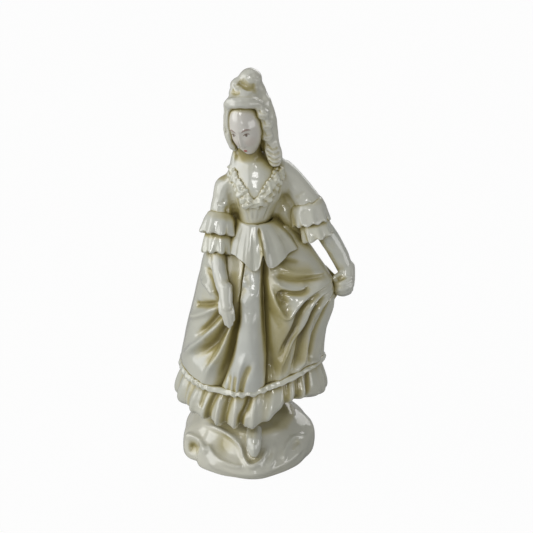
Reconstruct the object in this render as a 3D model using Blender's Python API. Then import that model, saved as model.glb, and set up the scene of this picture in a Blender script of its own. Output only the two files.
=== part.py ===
"""A slip-cast porcelain lady in a flounced eighteenth-century dress, on a shell-shaped plinth.

Metres, +Z up. The origin is on the table under the middle of the figure, and the lady faces -Y.
Each cast or modelled section is its own object. Neighbours keep a hair of clearance, where the
slip that lutes them together sits in the real figure.
"""

from math import atan2, cos, exp, hypot, pi, radians, sin

import bmesh
import bpy
from mathutils import Euler, Matrix, Vector

MM = 0.001
JOINT_GAP = 0.3  # slip joint between two sections, mm

# Heights above the table, mm
WAIST = 68.6
PEPLUM_TOP = 69.6
HEM = 15.0
LACE = 26.0
MOUND_TOP = 12.4

# Plinth, mm
PLINTH_X = -0.7
PLINTH_RADIUS = 18.3
MOUTH_RADIUS = 7.6
WALL = 2.0
VENT_RADIUS = 1.5
VENT_PLACE = (4.6, 3.4)

# Skirt outline: height, her right edge, her left edge, front, back, mm
SKIRT_AXIS = 1.0
SKIRT_STATIONS = (
    (12.0, -19.4, 20.4, -19.0, 19.6),
    (16.0, -19.8, 20.9, -19.3, 19.8),
    (20.0, -20.0, 21.2, -19.0, 19.6),
    (28.0, -18.7, 20.7, -17.9, 18.4),
    (36.0, -17.1, 20.9, -16.5, 16.8),
    (44.0, -15.2, 22.2, -14.9, 14.9),
    (50.0, -13.9, 23.2, -13.6, 13.2),
    (54.0, -12.9, 21.6, -12.6, 11.8),
    (58.0, -12.2, 19.6, -9.8, 9.4),
    (62.0, -10.8, 16.8, -7.2, 6.6),
    (66.0, -7.6, 13.8, -5.1, 4.3),
    (68.6, -4.6, 10.6, -4.7, 3.8),
)

# Bodice sections: height, middle, half width, front, back, mm
BODICE_STATIONS = (
    (67.0, 1.8, 4.6, -6.2, 4.2),
    (70.5, 2.1, 4.3, -6.2, 4.3),
    (74.0, 2.5, 5.3, -6.9, 4.6),
    (77.5, 2.7, 6.6, -7.5, 5.0),
    (81.0, 2.7, 7.2, -6.8, 5.0),
    (84.0, 2.3, 6.2, -4.9, 4.4),
    (86.4, 1.7, 4.4, -3.6, 3.2),
    (88.0, 1.3, 2.9, -2.9, 2.6),
)

BODICE_TURN = radians(-8)  # her shoulders turn a little to her right

SHOE_PATH = ((1.5, -10.8, 11.6), (1.5, -14.4, 10.0), (1.5, -16.6, 6.4))
SHOE_RADII = (2.1, 2.0, 1.9, 1.6, 0.7)
NECK_PATH = ((1.2, -0.9, 84.6), (0.9, -1.2, 88.0), (0.5, -1.2, 92.6))
NECK_RADII = (3.4, 2.8, 2.6, 2.6)

# Peplum, mm: its half sizes at the waist, how far it flares, and how far it drops
PEPLUM_WAIST = (4.5, 5.4)
PEPLUM_FLARE_SIDE = 5.2
PEPLUM_FLARE_LEFT = 1.8  # more over her left hip
PEPLUM_FLARE_FRONT = 6.2
PEPLUM_FLARE_BACK = 4.4
PEPLUM_DROP = (6.6, 2.0, 1.8)  # all round, more in front, more at the two points
PEPLUM_RIPPLES = 14

# Lace collar, mm
COLLAR_HEIGHT = 83.0
COLLAR_DIP = 5.6
COLLAR_LOBES = 18

# Limbs: the middle of each from its top to its end, mm
RIGHT_SLEEVE = ((-3.6, 0.6, 82.2), (-6.0, -0.1, 77.4), (-7.0, -1.1, 70.6))
RIGHT_CUFF = ((-7.0, -1.2, 71.2), (-7.2, -2.0, 69.0), (-7.6, -3.0, 66.6))
RIGHT_FRILL = ((-7.3, -2.2, 67.4), (-7.5, -3.4, 64.6), (-7.7, -4.6, 61.8))
RIGHT_FOREARM = ((-7.7, -4.6, 63.4), (-7.3, -8.6, 58.0), (-5.9, -11.9, 53.4))
RIGHT_HAND = ((-5.8, -12.2, 52.9), (-5.2, -13.8, 49.6), (-5.0, -15.0, 45.8))
LEFT_SLEEVE = ((8.4, 0.4, 83.0), (12.4, -0.1, 78.8), (15.8, -0.8, 73.8))
LEFT_CUFF = ((15.4, -0.7, 74.6), (15.9, -1.2, 72.2), (16.5, -2.0, 69.2))
LEFT_FRILL = ((16.6, -1.5, 70.6), (17.6, -2.0, 68.2), (18.4, -2.6, 65.4))
LEFT_FOREARM = ((19.0, -1.6, 68.0), (23.0, -1.0, 61.4), (26.0, -1.4, 55.0))
LEFT_HAND = ((26.0, -1.6, 54.6), (25.4, -3.4, 52.0), (22.4, -5.2, 50.6))

# Web of clay that closes the gap between her left arm and her waist
ARM_WEB = ((9.7, 1.0, 78.4), (9.9, 0.9, 74.6), (9.3, 0.7, 70.5))
ARM_WEB_RADII = (1.2, 2.9, 3.7)
ARM_WEB_FLATTEN = 0.42

# Hair: middles and half sizes of its rounded locks, mm
TOP_PUFF = ((0.8, -1.2, 107.9), (2.8, 2.8, 2.5))
SIDE_PUFF = ((-2.2, -2.2, 106.3), (2.0, 2.2, 2.0))
RISING_HAIR = ((-0.6, -2.2, 104.3), (3.9, 4.0, 2.6))
FRONT_ROLL = ((-4.9, -4.2, 99.8), (-3.6, -7.2, 102.5), (-0.6, -8.2, 103.6), (2.8, -6.4, 102.4))
SIDE_CURLS = ((3.9, -5.2, 100.0), (4.9, -4.6, 96.9), (5.0, -4.0, 93.8))
SIDE_LOCK = ((-4.7, -4.2, 99.0), (-4.4, -4.6, 94.6), (-3.0, -3.0, 89.6))
RINGLET = ((5.5, -2.6, 91.6), (6.8, -3.0, 88.6), (7.2, -3.6, 85.4))
BACK_HAIR = ((0.4, -0.4, 106.4), (0.8, 1.6, 100.4), (2.1, 2.2, 94.2), (3.2, 2.2, 88.2))

HEAD_CENTRE = Vector((-0.9, -3.2, 96.4))
HEAD_TILT = Euler((radians(14), radians(-9), radians(-22)))  # looks down and to her right
HEAD_RADII = Vector((4.5, 5.4, 7.4))

PLEATS = 22
PLEAT_DEPTH = 0.6
STAND_SHARE = 0.63  # the flounce stands on its parts nearer the axis than this share
SCALLOPS = 44
SCALLOP_DEPTH = 0.22
BACK_FOLDS = 16
OVERSKIRT_RINGS = 11
COLLAR_RING = 3.0

PORCELAIN = (0.74, 0.75, 0.69)
HAIR_GLAZE = (0.74, 0.73, 0.62)
LACE_GLAZE = (0.78, 0.77, 0.66)


# ---------- scene and materials ----------


def clear_scene():
    for obj in list(bpy.data.objects):
        bpy.data.objects.remove(obj)


def glaze(name, colour, roughness):
    material = bpy.data.materials.new(name)
    material.use_nodes = True
    shader = material.node_tree.nodes["Principled BSDF"]
    shader.inputs["Base Color"].default_value = (*colour, 1.0)
    shader.inputs["Roughness"].default_value = roughness
    shader.inputs["Metallic"].default_value = 0.0
    material.diffuse_color = (*colour, 1.0)
    return material


def finish(name, bm, material):
    """Makes a named object of a bmesh drawn in millimetres."""
    bmesh.ops.remove_doubles(bm, verts=bm.verts, dist=0.001)
    bmesh.ops.recalc_face_normals(bm, faces=bm.faces)
    if bm.calc_volume(signed=True) < 0:
        bmesh.ops.reverse_faces(bm, faces=bm.faces)
    bmesh.ops.scale(bm, vec=(MM, MM, MM), verts=bm.verts)
    mesh = bpy.data.meshes.new(name)
    bm.to_mesh(mesh)
    bm.free()
    mesh.materials.append(material)
    mesh.shade_smooth()
    mesh.set_sharp_from_angle(angle=radians(40))
    obj = bpy.data.objects.new(name, mesh)
    bpy.context.scene.collection.objects.link(obj)
    return obj


# ---------- curves and blanks ----------


def between(stations, value):
    """The row of numbers at this value of the first column, on a smooth curve through the rows."""
    last = len(stations) - 1
    value = min(max(value, stations[0][0]), stations[last][0])
    i = max(k for k in range(last) if stations[k][0] <= value)
    rows = [stations[min(max(i + k, 0), last)] for k in (-1, 0, 1, 2)]
    t = (value - rows[1][0]) / (rows[2][0] - rows[1][0])
    return [catmull(t, *column) for column in list(zip(*rows))[1:]]


def catmull(t, a, b, c, d):
    return b + 0.5 * t * (c - a + t * (2 * a - 5 * b + 4 * c - d + t * (3 * (b - c) + d - a)))


def on_path(points, t):
    """The point at share t of a smooth curve through three or more points."""
    spans = len(points) - 1
    i = min(int(t * spans), spans - 1)
    picked = [Vector(points[min(max(i + k, 0), spans)]) for k in (-1, 0, 1, 2)]
    return catmull(t * spans - i, *picked)


def tube_blank(segments, rings):
    """A closed upright cylinder of radius 1 from z 0 to z 1, with that many rings of faces."""
    bm = bmesh.new()
    bmesh.ops.create_cone(
        bm, cap_ends=True, segments=segments, radius1=1.0, radius2=1.0, depth=1.0,
        matrix=Matrix.Translation((0, 0, 0.5)),
    )
    upright = [e for e in bm.edges if abs(e.verts[0].co.z - e.verts[1].co.z) > 0.5]
    if rings > 1:
        bmesh.ops.subdivide_edges(bm, edges=upright, cuts=rings - 1, use_grid_fill=True)
    return bm


def ring_blank(profile, segments):
    """A profile of (radius, height) points, turned about the Z axis."""
    bm = bmesh.new()
    verts = [bm.verts.new((r, 0.0, z)) for r, z in profile]
    edges = [bm.edges.new(pair) for pair in zip(verts, verts[1:])]
    if profile[0][0] > 0 or profile[-1][0] > 0:
        edges.append(bm.edges.new((verts[-1], verts[0])))
    bmesh.ops.spin(
        bm, geom=verts + edges, cent=(0, 0, 0), axis=(0, 0, 1),
        angle=2 * pi, steps=segments, use_merge=True,
    )
    bmesh.ops.remove_doubles(bm, verts=bm.verts, dist=0.001)
    return bm


def reshape(bm, shape):
    for vert in bm.verts:
        vert.co = Vector(shape(*vert.co))
    return bm


def limb(name, material, points, radii, segments=12, rings=6, flatten=1.0, ruffles=0, ruffle_depth=0.0):
    """A round limb along a path. radii are read along its length, and ruffles flute its far end."""
    stations = [(i / (len(radii) - 1), r) for i, r in enumerate(radii)]

    def shape(x, y, t):
        middle = on_path(points, t)
        ahead = on_path(points, min(t + 0.02, 1.0)) - on_path(points, max(t - 0.02, 0.0))
        ahead.normalize()
        side = ahead.cross(Vector((0, 1, 0))).normalized()
        front = side.cross(ahead)
        radius = between(stations, t)[0]
        radius += ruffle_depth * t * cos(ruffles * atan2(y, x))
        return middle + side * (x * radius) + front * (y * radius * flatten)

    return finish(name, reshape(tube_blank(segments, rings), shape), material)


def ball(name, material, centre, radii, turn=(0, 0, 0), detail=2):
    bm = bmesh.new()
    bmesh.ops.create_icosphere(bm, subdivisions=detail, radius=1.0)
    place = Matrix.Translation(centre) @ Euler(turn).to_matrix().to_4x4() @ Matrix.Diagonal((*radii, 1.0))
    bmesh.ops.transform(bm, matrix=place, verts=bm.verts)
    return finish(name, bm, material)


def bead(distance, width):
    """A smooth bump: 1 on its crest, and near 0 a width and a half away."""
    return exp(-((distance / width) ** 2))


def off(angle, middle):
    """How far one direction is from another, from -pi to pi."""
    return (angle - middle + pi) % (2 * pi) - pi


# ---------- fitting one section against another ----------


def grown(obj):
    """A hidden copy of a section, one slip joint larger all over, that cuts its neighbours."""
    name = "clearance_" + obj.name
    cutter = bpy.data.objects.get(name)
    if cutter is None:
        cutter = bpy.data.objects.new(name, obj.data)
        swell = cutter.modifiers.new("swell", "DISPLACE")
        swell.mid_level = 0.0
        swell.strength = JOINT_GAP * MM
        hide(cutter)
    return cutter


def hide(obj):
    if obj.name not in bpy.context.scene.collection.objects:
        bpy.context.scene.collection.objects.link(obj)
    obj.hide_render = True
    obj.display_type = "WIRE"


def cut(obj, cutter, operation="DIFFERENCE"):
    boolean = obj.modifiers.new("fit_" + cutter.name, "BOOLEAN")
    boolean.operation = operation
    boolean.solver = "EXACT"
    boolean.object = cutter


def fit(obj, *neighbours):
    """Cuts a section back so that it just clears each neighbour."""
    for neighbour in neighbours:
        cut(obj, grown(neighbour))


# ---------- plinth and shoe ----------


def plinth_outline(angle):
    """Radius of the plinth's lobed edge, as a share of its nominal radius."""
    return 1.0 + 0.02 * cos(5 * angle + 0.6) + 0.01 * cos(9 * angle) - 0.07 * bead(off(angle, -2.55), 0.10)


def make_plinth(material):
    """A hollow plinth that is open above, with its flat foot pierced by a small vent."""
    rim = PLINTH_RADIUS
    profile = (
        (0.0, 0.0), (rim - 1.2, 0.0), (rim - 0.2, 0.9), (rim, 3.0), (rim - 0.5, 5.6), (rim - 2.4, 7.4),
        (rim - 4.6, 9.4), (rim - 6.8, MOUND_TOP - 0.4), (MOUTH_RADIUS, MOUND_TOP),
        (MOUTH_RADIUS, MOUND_TOP - 2.0), (rim - 6.4, 5.4), (rim - 7.0, WALL), (0.0, WALL),
    )

    def shape(x, y, z):
        radius, angle = hypot(x, y), atan2(y, x)
        rise = min(max((radius - 13.0) / 3.0, 0.0), 1.0)
        front = max(0.0, -y / max(radius, 0.01)) ** 2
        z *= 1.0 + rise * (0.14 - 0.42 * front)
        share = 1.0 + (plinth_outline(angle) - 1.0) * rise
        return x * share + PLINTH_X, y * share, z

    plinth = finish("plinth", reshape(ring_blank(profile, 44), shape), material)
    vent = tube_blank(16, 1)
    across, deep = VENT_PLACE
    reshape(vent, lambda x, y, t: (x * VENT_RADIUS + across, y * VENT_RADIUS + deep, 4 * t - 1))
    cutter = finish("vent_hole", vent, material)
    hide(cutter)
    cut(plinth, cutter)
    return plinth


def make_shoe(material):
    return limb("shoe", material, SHOE_PATH, SHOE_RADII, segments=14, rings=8)


# ---------- skirts ----------


def skirt_surface(angle, height):
    """The plain outer surface of the skirts, before folds."""
    left, right, front, back = between(SKIRT_STATIONS, height)
    across = right - SKIRT_AXIS if cos(angle) > 0 else SKIRT_AXIS - left
    deep = back if sin(angle) > 0 else -front
    pulled = max(0.0, cos(angle)) ** 2 * bead(height - 51.0, 12.0)  # drawn forward to her left hand
    return Vector((SKIRT_AXIS + across * cos(angle), deep * sin(angle) - 3.2 * pulled, height))


# Folds on the front of the overskirt: points (x, height) along each, width and how far it stands out, mm
FOLDS = (
    (((-3.8, 46.0), (-4.6, 38.0), (-7.4, 27.0)), 1.6, -1.3),  # beside the apron, her right
    (((-5.6, 45.5), (-12.0, 36.0)), 2.0, -1.1),
    (((5.6, 58.0), (6.0, 46.0), (6.2, 36.0), (6.0, 27.0)), 1.8, -1.3),  # beside the apron, her left
    (((6.4, 56.5), (8.0, 48.0), (11.6, 44.0), (17.4, 49.0), (21.6, 54.5)), 1.8, 0.9),  # swag to the hand
    (((17.6, 47.5), (10.6, 36.0), (8.6, 31.0)), 1.8, -1.1),
)


def to_line(x, z, line):
    """Distance from (x, z) to a broken line."""
    best = 1e9
    for (ax, az), (bx, bz) in zip(line, line[1:]):
        dx, dz = bx - ax, bz - az
        t = min(max(((x - ax) * dx + (z - az) * dz) / (dx * dx + dz * dz), 0.0), 1.0)
        best = min(best, hypot(x - ax - t * dx, z - az - t * dz))
    return best


def fold_relief(point, angle):
    if point.y < 2.0:
        return sum(depth * bead(to_line(point.x, point.z, line), width) for line, width, depth in FOLDS)
    fade = min(max((62.0 - point.z) / 20.0, 0.0), 1.0)
    return 0.7 * fade * cos(BACK_FOLDS * angle) * min(1.0, (point.y - 2.0) / 6.0)


def skirt_point(angle, height, share=1.0, relief=0.0):
    """A point on the skirts at that share of the way out from their axis, raised by relief."""
    plain = skirt_surface(angle, height)
    axis = Vector((SKIRT_AXIS, 0.0, height))
    outward = (plain - axis).normalized()
    return axis + (plain - axis) * share + outward * relief


def hem_height(angle):
    """Height of the hem: her left hand lifts it, most of all in front of that hand."""
    past = off(angle, -0.96)
    return HEM + 6.6 * bead(past, 0.34 if past < 0 else 0.80) + 0.8 * bead(off(angle, -2.6), 0.5)


def lace_height(angle):
    """Height of the lace edge, which runs higher towards her left hand."""
    return LACE + 4.6 * bead(off(angle, -0.55), 0.75) + 1.2 * bead(off(angle, -3.0), 0.7)


def make_flounce(material):
    """The gathered bottom flounce, a ring whose inner lip stands on the plinth's mound."""
    lip = MOUND_TOP + JOINT_GAP
    stand = ((0.52, 0.78), (0.50, 0.0), (0.60, 0.0), (0.66, 0.3))  # share outwards, share from hem to lace
    drape = ((0.94, 0.02), (1.0, 0.10), (1.0, 0.35), (0.985, 0.65), (0.95, 0.95))

    def shape(x, y, z):
        share, angle = hypot(x, y), atan2(y, x)
        low, high = hem_height(angle), lace_height(angle) - 0.7
        relief = PLEAT_DEPTH * cos(PLEATS * angle) * (1.0 - 0.4 * z) if share > 0.9 else 0.0
        if share < STAND_SHARE:
            low, high = lip, LACE
        return skirt_point(angle, low + (high - low) * z, share, relief)

    return finish("flounce", reshape(ring_blank(stand + drape, 3 * PLEATS), shape), material)


def make_lace(material):
    """The scalloped edging between the overskirt and the flounce."""
    profile = ((0.84, -0.35), (0.97, -0.35), (1.035, -0.55), (1.03, 0.3), (0.84, 0.55))

    def shape(x, y, z):
        share, angle = hypot(x, y), atan2(y, x)
        if share > 0.9:
            z += SCALLOP_DEPTH * cos(SCALLOPS * angle)
        return skirt_point(angle, lace_height(angle) + z, share, 0.0)

    return finish("lace_edging", reshape(ring_blank(profile, 2 * SCALLOPS), shape), material)


def make_overskirt(material):
    """The draped overskirt, a thick cast shell that is open below."""
    low, top = LACE + 1.0, WAIST - JOINT_GAP
    outer = tuple((1.0, low + (top - low) * i / OVERSKIRT_RINGS) for i in range(OVERSKIRT_RINGS + 1))
    inner = ((0.0, 58.0), (0.42, 54.0), (0.62, 43.0), (0.78, low))
    bm = ring_blank(inner + outer + ((0.0, top),), 60)

    def shape(x, y, z):
        share, angle = hypot(x, y), atan2(y, x)
        rise = 1.0 - min(max((z - low) / 20.0, 0.0), 1.0)
        height = z + rise * (lace_height(angle) - LACE)
        relief = fold_relief(skirt_point(angle, height), angle) if share > 0.99 else 0.0
        return skirt_point(angle, height, share, relief)

    return finish("overskirt", reshape(bm, shape), material)


def panel_block(name, margin, material):
    """A wedge across the front of the skirts, between the deep folds on either side of the apron."""
    line = ((-5.6, 5.0, LACE - 2.0), (-3.0, 4.6, 42.0), (-1.4, 4.4, 56.0))

    def shape(x, y, t):
        left, right, z = on_path(line, t)
        z += margin * (1 if t > 0.5 else -1)
        front = between(SKIRT_STATIONS, z)[2]
        side = right + margin if x > 0 else left - margin
        return side, front - 4.0 if y < 0 else front + 2.6 + margin, z

    bm = tube_blank(4, 6)
    bmesh.ops.rotate(bm, verts=bm.verts, matrix=Matrix.Rotation(pi / 4, 3, "Z"))
    block = finish(name, reshape(bm, shape), material)
    hide(block)
    return block


def make_apron(overskirt, material):
    """The plain front panel of the petticoat, set into the open front of the overskirt."""
    apron = bpy.data.objects.new("petticoat_panel", overskirt.data.copy())
    bpy.context.scene.collection.objects.link(apron)
    cut(apron, panel_block("panel_block", 0.0, material), "INTERSECT")
    cut(overskirt, panel_block("panel_opening", JOINT_GAP, material))


def make_peplum(material):
    """The jacket's flared skirt, with a notch at the front where its two fronts part."""
    profile = ((0.0, 0.0), (0.12, -0.03), (0.75, 0.62), (1.0, 1.0), (0.92, 1.0), (0.62, 0.62), (0.0, 0.15))

    def shape(x, y, t):
        flare, angle = hypot(x, y) - 1.0, atan2(y, x)
        ahead = off(angle, -pi / 2)
        front = bead(ahead, 0.85)
        tips = bead(ahead + 0.12, 0.20) + bead(ahead - 0.34, 0.20)
        drop = PEPLUM_DROP[0] + PEPLUM_DROP[1] * front + PEPLUM_DROP[2] * tips
        across = PEPLUM_WAIST[0] + (PEPLUM_FLARE_SIDE + PEPLUM_FLARE_LEFT * max(0.0, cos(angle))) * flare
        deep = PEPLUM_WAIST[1] + (PEPLUM_FLARE_FRONT * front + PEPLUM_FLARE_BACK * (1.0 - front)) * flare
        ripple = 1.0 + 0.05 * flare * cos(PEPLUM_RIPPLES * angle)
        x_mid = 2.0 + 0.9 * flare
        y_mid = -0.9
        height = PEPLUM_TOP - drop * t
        return x_mid + across * ripple * cos(angle), y_mid + deep * ripple * sin(angle), height

    moved = tuple((1.0 + flare, t) for flare, t in profile)
    return finish("peplum", reshape(ring_blank(moved, 42), shape), material)


# ---------- body ----------


def bodice_surface(angle, height, grow=0.0):
    middle, half, front, back = between(BODICE_STATIONS, height)
    deep = back if sin(angle) > 0 else -front
    point = Vector(((half + grow) * cos(angle), (deep + grow) * sin(angle), 0.0))
    return Matrix.Rotation(BODICE_TURN, 3, "Z") @ point + Vector((middle, 0.0, height))


def make_bodice(material):
    low, high = WAIST, BODICE_STATIONS[-1][0]

    def shape(x, y, t):
        return bodice_surface(atan2(y, x), low + (high - low) * t)

    return finish("bodice", reshape(tube_blank(32, 10), shape), material)


def make_neck(material):
    return limb("neck", material, NECK_PATH, NECK_RADII, segments=20, rings=5)


def make_collar(material):
    """The lace collar round the low neckline, dipping to a point in front."""
    sides = 4
    profile = tuple((COLLAR_RING + cos(a), sin(a)) for a in (i * 2 * pi / sides for i in range(sides)))

    def shape(x, y, z):
        angle = atan2(y, x)
        out = hypot(x, y) - COLLAR_RING
        dip = bead(off(angle, -pi / 2), 0.62)
        height = COLLAR_HEIGHT - COLLAR_DIP * dip - 0.8 * sin(angle) ** 2
        lobe = 1.0 + 0.2 * cos(COLLAR_LOBES * angle)
        outward = Vector((cos(angle), sin(angle), 0.15)) * (out * 1.1 * lobe)
        return bodice_surface(angle, height) + outward + Vector((0, 0, z * 1.9 * lobe))

    return finish("lace_collar", reshape(ring_blank(profile, 36), shape), material)


def make_head(material):
    bm = bmesh.new()
    bmesh.ops.create_icosphere(bm, subdivisions=3, radius=1.0)

    def shape(x, y, z):
        jaw = max(0.0, -z)
        x *= HEAD_RADII.x * (1.0 - 0.30 * jaw ** 1.6)
        y = HEAD_RADII.y * (y * (1.0 - 0.22 * jaw ** 1.5) - 0.14 * jaw)
        facing = 1.0 if y < 0 else 0.0
        nose = facing * bead(x, 0.75) * bead(z + 0.20, 0.17)
        chin = facing * bead(x, 1.2) * bead(z + 0.84, 0.14)
        return x, y - 0.9 * nose - 0.3 * chin, z * HEAD_RADII.z

    reshape(bm, shape)
    place = Matrix.Translation(HEAD_CENTRE) @ HEAD_TILT.to_matrix().to_4x4()
    bmesh.ops.transform(bm, verts=bm.verts, matrix=place)
    return finish("head", bm, material)


# ---------- arms and hair ----------


def frill(name, material, path, small, large, ruffles=9):
    """A gathered cuff: a bell that widens to a fluted edge."""
    profile = ((0.0, 0.0), (1.0, 0.0), (1.5, 0.4), (2.0, 1.0), (0.0, 0.94))

    def shape(x, y, t):
        spread, angle = hypot(x, y), atan2(y, x)
        radius = spread * small if spread <= 1.0 else small + (large - small) * (spread - 1.0)
        radius *= 1.0 + 0.09 * t * min(spread, 1.0) * cos(ruffles * angle)
        ahead = Vector(path[-1]) - Vector(path[0])
        side = ahead.cross(Vector((0, 1, 0))).normalized()
        front = side.cross(ahead).normalized()
        return on_path(path, t) + (side * cos(angle) + front * sin(angle)) * radius

    return finish(name, reshape(ring_blank(profile, 4 * ruffles), shape), material)


def make_arm(side, sleeve, cuff, lower_frill, forearm, hand, material, lace):
    """One arm from the shoulder to the fingertips, each section stopping short of the next."""
    widths = ARM_WIDTHS[side]
    upper = limb(side + "_sleeve", material, sleeve, widths["sleeve"], segments=16, rings=7)
    tiers = [
        frill(side + "_cuff", material, cuff, *widths["cuff"]),
        frill(side + "_cuff_frill", lace, lower_frill, *widths["frill"]),
    ]
    lower = limb(side + "_forearm", material, forearm, widths["forearm"], segments=14, rings=6)
    palm = limb(side + "_hand", material, hand, widths["hand"], segments=14, rings=8, flatten=0.85)
    fit(tiers[0], upper)
    fit(tiers[1], upper, tiers[0])
    fit(lower, upper, *tiers)
    fit(palm, lower)
    return [upper, *tiers, lower, palm]


ARM_WIDTHS = {
    "right": {
        "sleeve": (2.7, 2.7, 2.6, 2.9), "cuff": (3.0, 4.7), "frill": (2.9, 4.1),
        "forearm": (2.1, 2.0, 1.9, 1.7), "hand": (1.6, 2.2, 2.1, 1.5, 0.8),
    },
    "left": {
        "sleeve": (3.1, 3.0, 3.2, 3.6), "cuff": (3.6, 4.5), "frill": (3.0, 3.9),
        "forearm": (2.5, 2.6, 2.4, 2.1), "hand": (2.1, 2.5, 2.4, 2.0, 1.3),
    },
}


def make_hair(head, neck, bodice, material):
    back = limb("back_hair", material, BACK_HAIR, (2.2, 4.4, 5.3, 5.6, 5.0, 3.4), segments=18, rings=8)
    rising = ball("rising_hair", material, *RISING_HAIR, detail=3)
    puffs = [ball("top_puff", material, *TOP_PUFF, detail=3), ball("side_puff", material, *SIDE_PUFF)]
    lock = limb("side_lock", material, SIDE_LOCK, (1.1, 1.3, 1.3, 1.0, 0.7), segments=12, rings=6)
    roll = limb("front_roll", material, FRONT_ROLL, (0.9, 1.5, 1.6, 1.6, 1.4, 0.9), segments=12, rings=9)
    curls = [
        ball(f"side_curl_{i + 1}", material, place, (1.6, 1.6, 1.5)) for i, place in enumerate(SIDE_CURLS)
    ]
    ringlet = limb("shoulder_ringlet", material, RINGLET, (1.4, 1.9, 2.0, 1.7, 0.9), segments=12, rings=7)
    fit(back, head, neck, bodice)
    fit(rising, head, back)
    fit(roll, head, rising, back)
    fit(puffs[0], rising, back)
    fit(puffs[1], rising, back, puffs[0])
    for i, curl in enumerate(curls):
        fit(curl, head, back, roll, *curls[:i])
    fit(lock, roll, back, head, neck)
    fit(ringlet, curls[-1], back, head, neck, bodice)
    return [back, rising, roll, *puffs, *curls, lock, ringlet]


# ---------- main ----------


def main():
    clear_scene()
    porcelain = glaze("glazed_porcelain", PORCELAIN, 0.12)
    hair_glaze = glaze("hair_glaze", HAIR_GLAZE, 0.14)
    lace_glaze = glaze("lace_glaze", LACE_GLAZE, 0.14)

    plinth = make_plinth(porcelain)
    flounce = make_flounce(porcelain)
    make_lace(lace_glaze)
    overskirt = make_overskirt(porcelain)
    make_apron(overskirt, porcelain)
    shoe = make_shoe(porcelain)
    fit(shoe, plinth, flounce)

    bodice = make_bodice(porcelain)
    peplum = make_peplum(porcelain)
    fit(peplum, bodice, overskirt)
    neck = make_neck(porcelain)
    fit(neck, bodice)
    collar = make_collar(lace_glaze)
    fit(collar, bodice, neck)
    head = make_head(porcelain)
    fit(head, neck)
    hair = make_hair(head, neck, bodice, hair_glaze)
    fit(collar, hair[-1], hair[0])

    right = make_arm(
        "right", RIGHT_SLEEVE, RIGHT_CUFF, RIGHT_FRILL, RIGHT_FOREARM, RIGHT_HAND, porcelain, lace_glaze
    )
    left = make_arm(
        "left", LEFT_SLEEVE, LEFT_CUFF, LEFT_FRILL, LEFT_FOREARM, LEFT_HAND, porcelain, lace_glaze
    )
    web = limb("arm_web", porcelain, ARM_WEB, ARM_WEB_RADII, segments=14, flatten=ARM_WEB_FLATTEN)
    fit(web, bodice, *left[:2])
    for sleeve, cuff, frill_below, forearm, hand in (right, left):
        fit(sleeve, bodice)
        fit(collar, sleeve)
        fit(cuff, bodice, overskirt)
        fit(frill_below, overskirt)
        fit(peplum, cuff, frill_below)
        fit(forearm, peplum, overskirt)
        fit(hand, overskirt)


main()
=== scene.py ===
# Porcelain lady in a flounced dress, on a shell-shaped base, with stain gathered in her folds and painted
# shade under her chin, on her chest, under the hem and on parts of the skirts.
# Shapes are worked in millimetres, and every mesh is brought to metres when its piece is finished.

import bmesh
import bpy
import numpy as np
from mathutils import Euler, Matrix, Vector
from mathutils.bvhtree import BVHTree


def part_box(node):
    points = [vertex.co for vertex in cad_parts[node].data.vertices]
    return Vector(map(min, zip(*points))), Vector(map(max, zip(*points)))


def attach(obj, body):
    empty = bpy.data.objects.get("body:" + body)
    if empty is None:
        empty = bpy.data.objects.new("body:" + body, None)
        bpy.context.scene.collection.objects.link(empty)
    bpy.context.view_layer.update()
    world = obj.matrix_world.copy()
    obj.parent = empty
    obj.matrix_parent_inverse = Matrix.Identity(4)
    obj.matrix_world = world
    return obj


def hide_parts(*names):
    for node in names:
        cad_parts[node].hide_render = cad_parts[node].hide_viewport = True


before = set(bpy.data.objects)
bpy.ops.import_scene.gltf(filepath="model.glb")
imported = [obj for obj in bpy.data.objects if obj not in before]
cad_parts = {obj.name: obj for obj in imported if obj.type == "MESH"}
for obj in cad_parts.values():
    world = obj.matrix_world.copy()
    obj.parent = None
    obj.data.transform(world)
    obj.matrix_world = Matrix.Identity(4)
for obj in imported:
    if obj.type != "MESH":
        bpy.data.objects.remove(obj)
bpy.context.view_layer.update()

mm = 0.001
fullTurn = 2 * np.pi


# small maths

def bump(distance, width, power=2.0):
    return np.exp(-(np.abs(distance / width) ** power))


def ease(low, high, value):
    share = np.clip((value - low) / (high - low), 0, 1)
    return share * share * (3 - 2 * share)


def turnBetween(angle, middle):
    return (angle - middle + np.pi) % fullTurn - np.pi


def curveThrough(points, steps=8):
    # a smooth curve through the points, as rows of places
    points = np.array(points, float)
    if len(points) < 3:
        share = np.linspace(0, 1, steps + 1)[:, None]
        return points[0] * (1 - share) + points[-1] * share
    padded = np.vstack([2 * points[0] - points[1], points, 2 * points[-1] - points[-2]])
    rows = []
    for a, b, c, d in zip(padded, padded[1:], padded[2:], padded[3:]):
        for t in np.arange(steps) / steps:
            rows.append(b + 0.5 * t * (c - a + t * (2 * a - 5 * b + 4 * c - d + t * (3 * (b - c) + d - a))))
    return np.array(rows + [points[-1]])


def wobble(places, size, seed):
    # smooth handmade unevenness from -1 to 1, size in mm
    rng = np.random.default_rng(seed)
    total = 0
    for i in range(6):
        way = rng.normal(size=3)
        way *= fullTurn / (size * rng.uniform(0.7, 1.5)) / np.linalg.norm(way)
        total = total + np.sin(places @ way + rng.uniform(0, fullTurn))
    return total / 3


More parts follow.
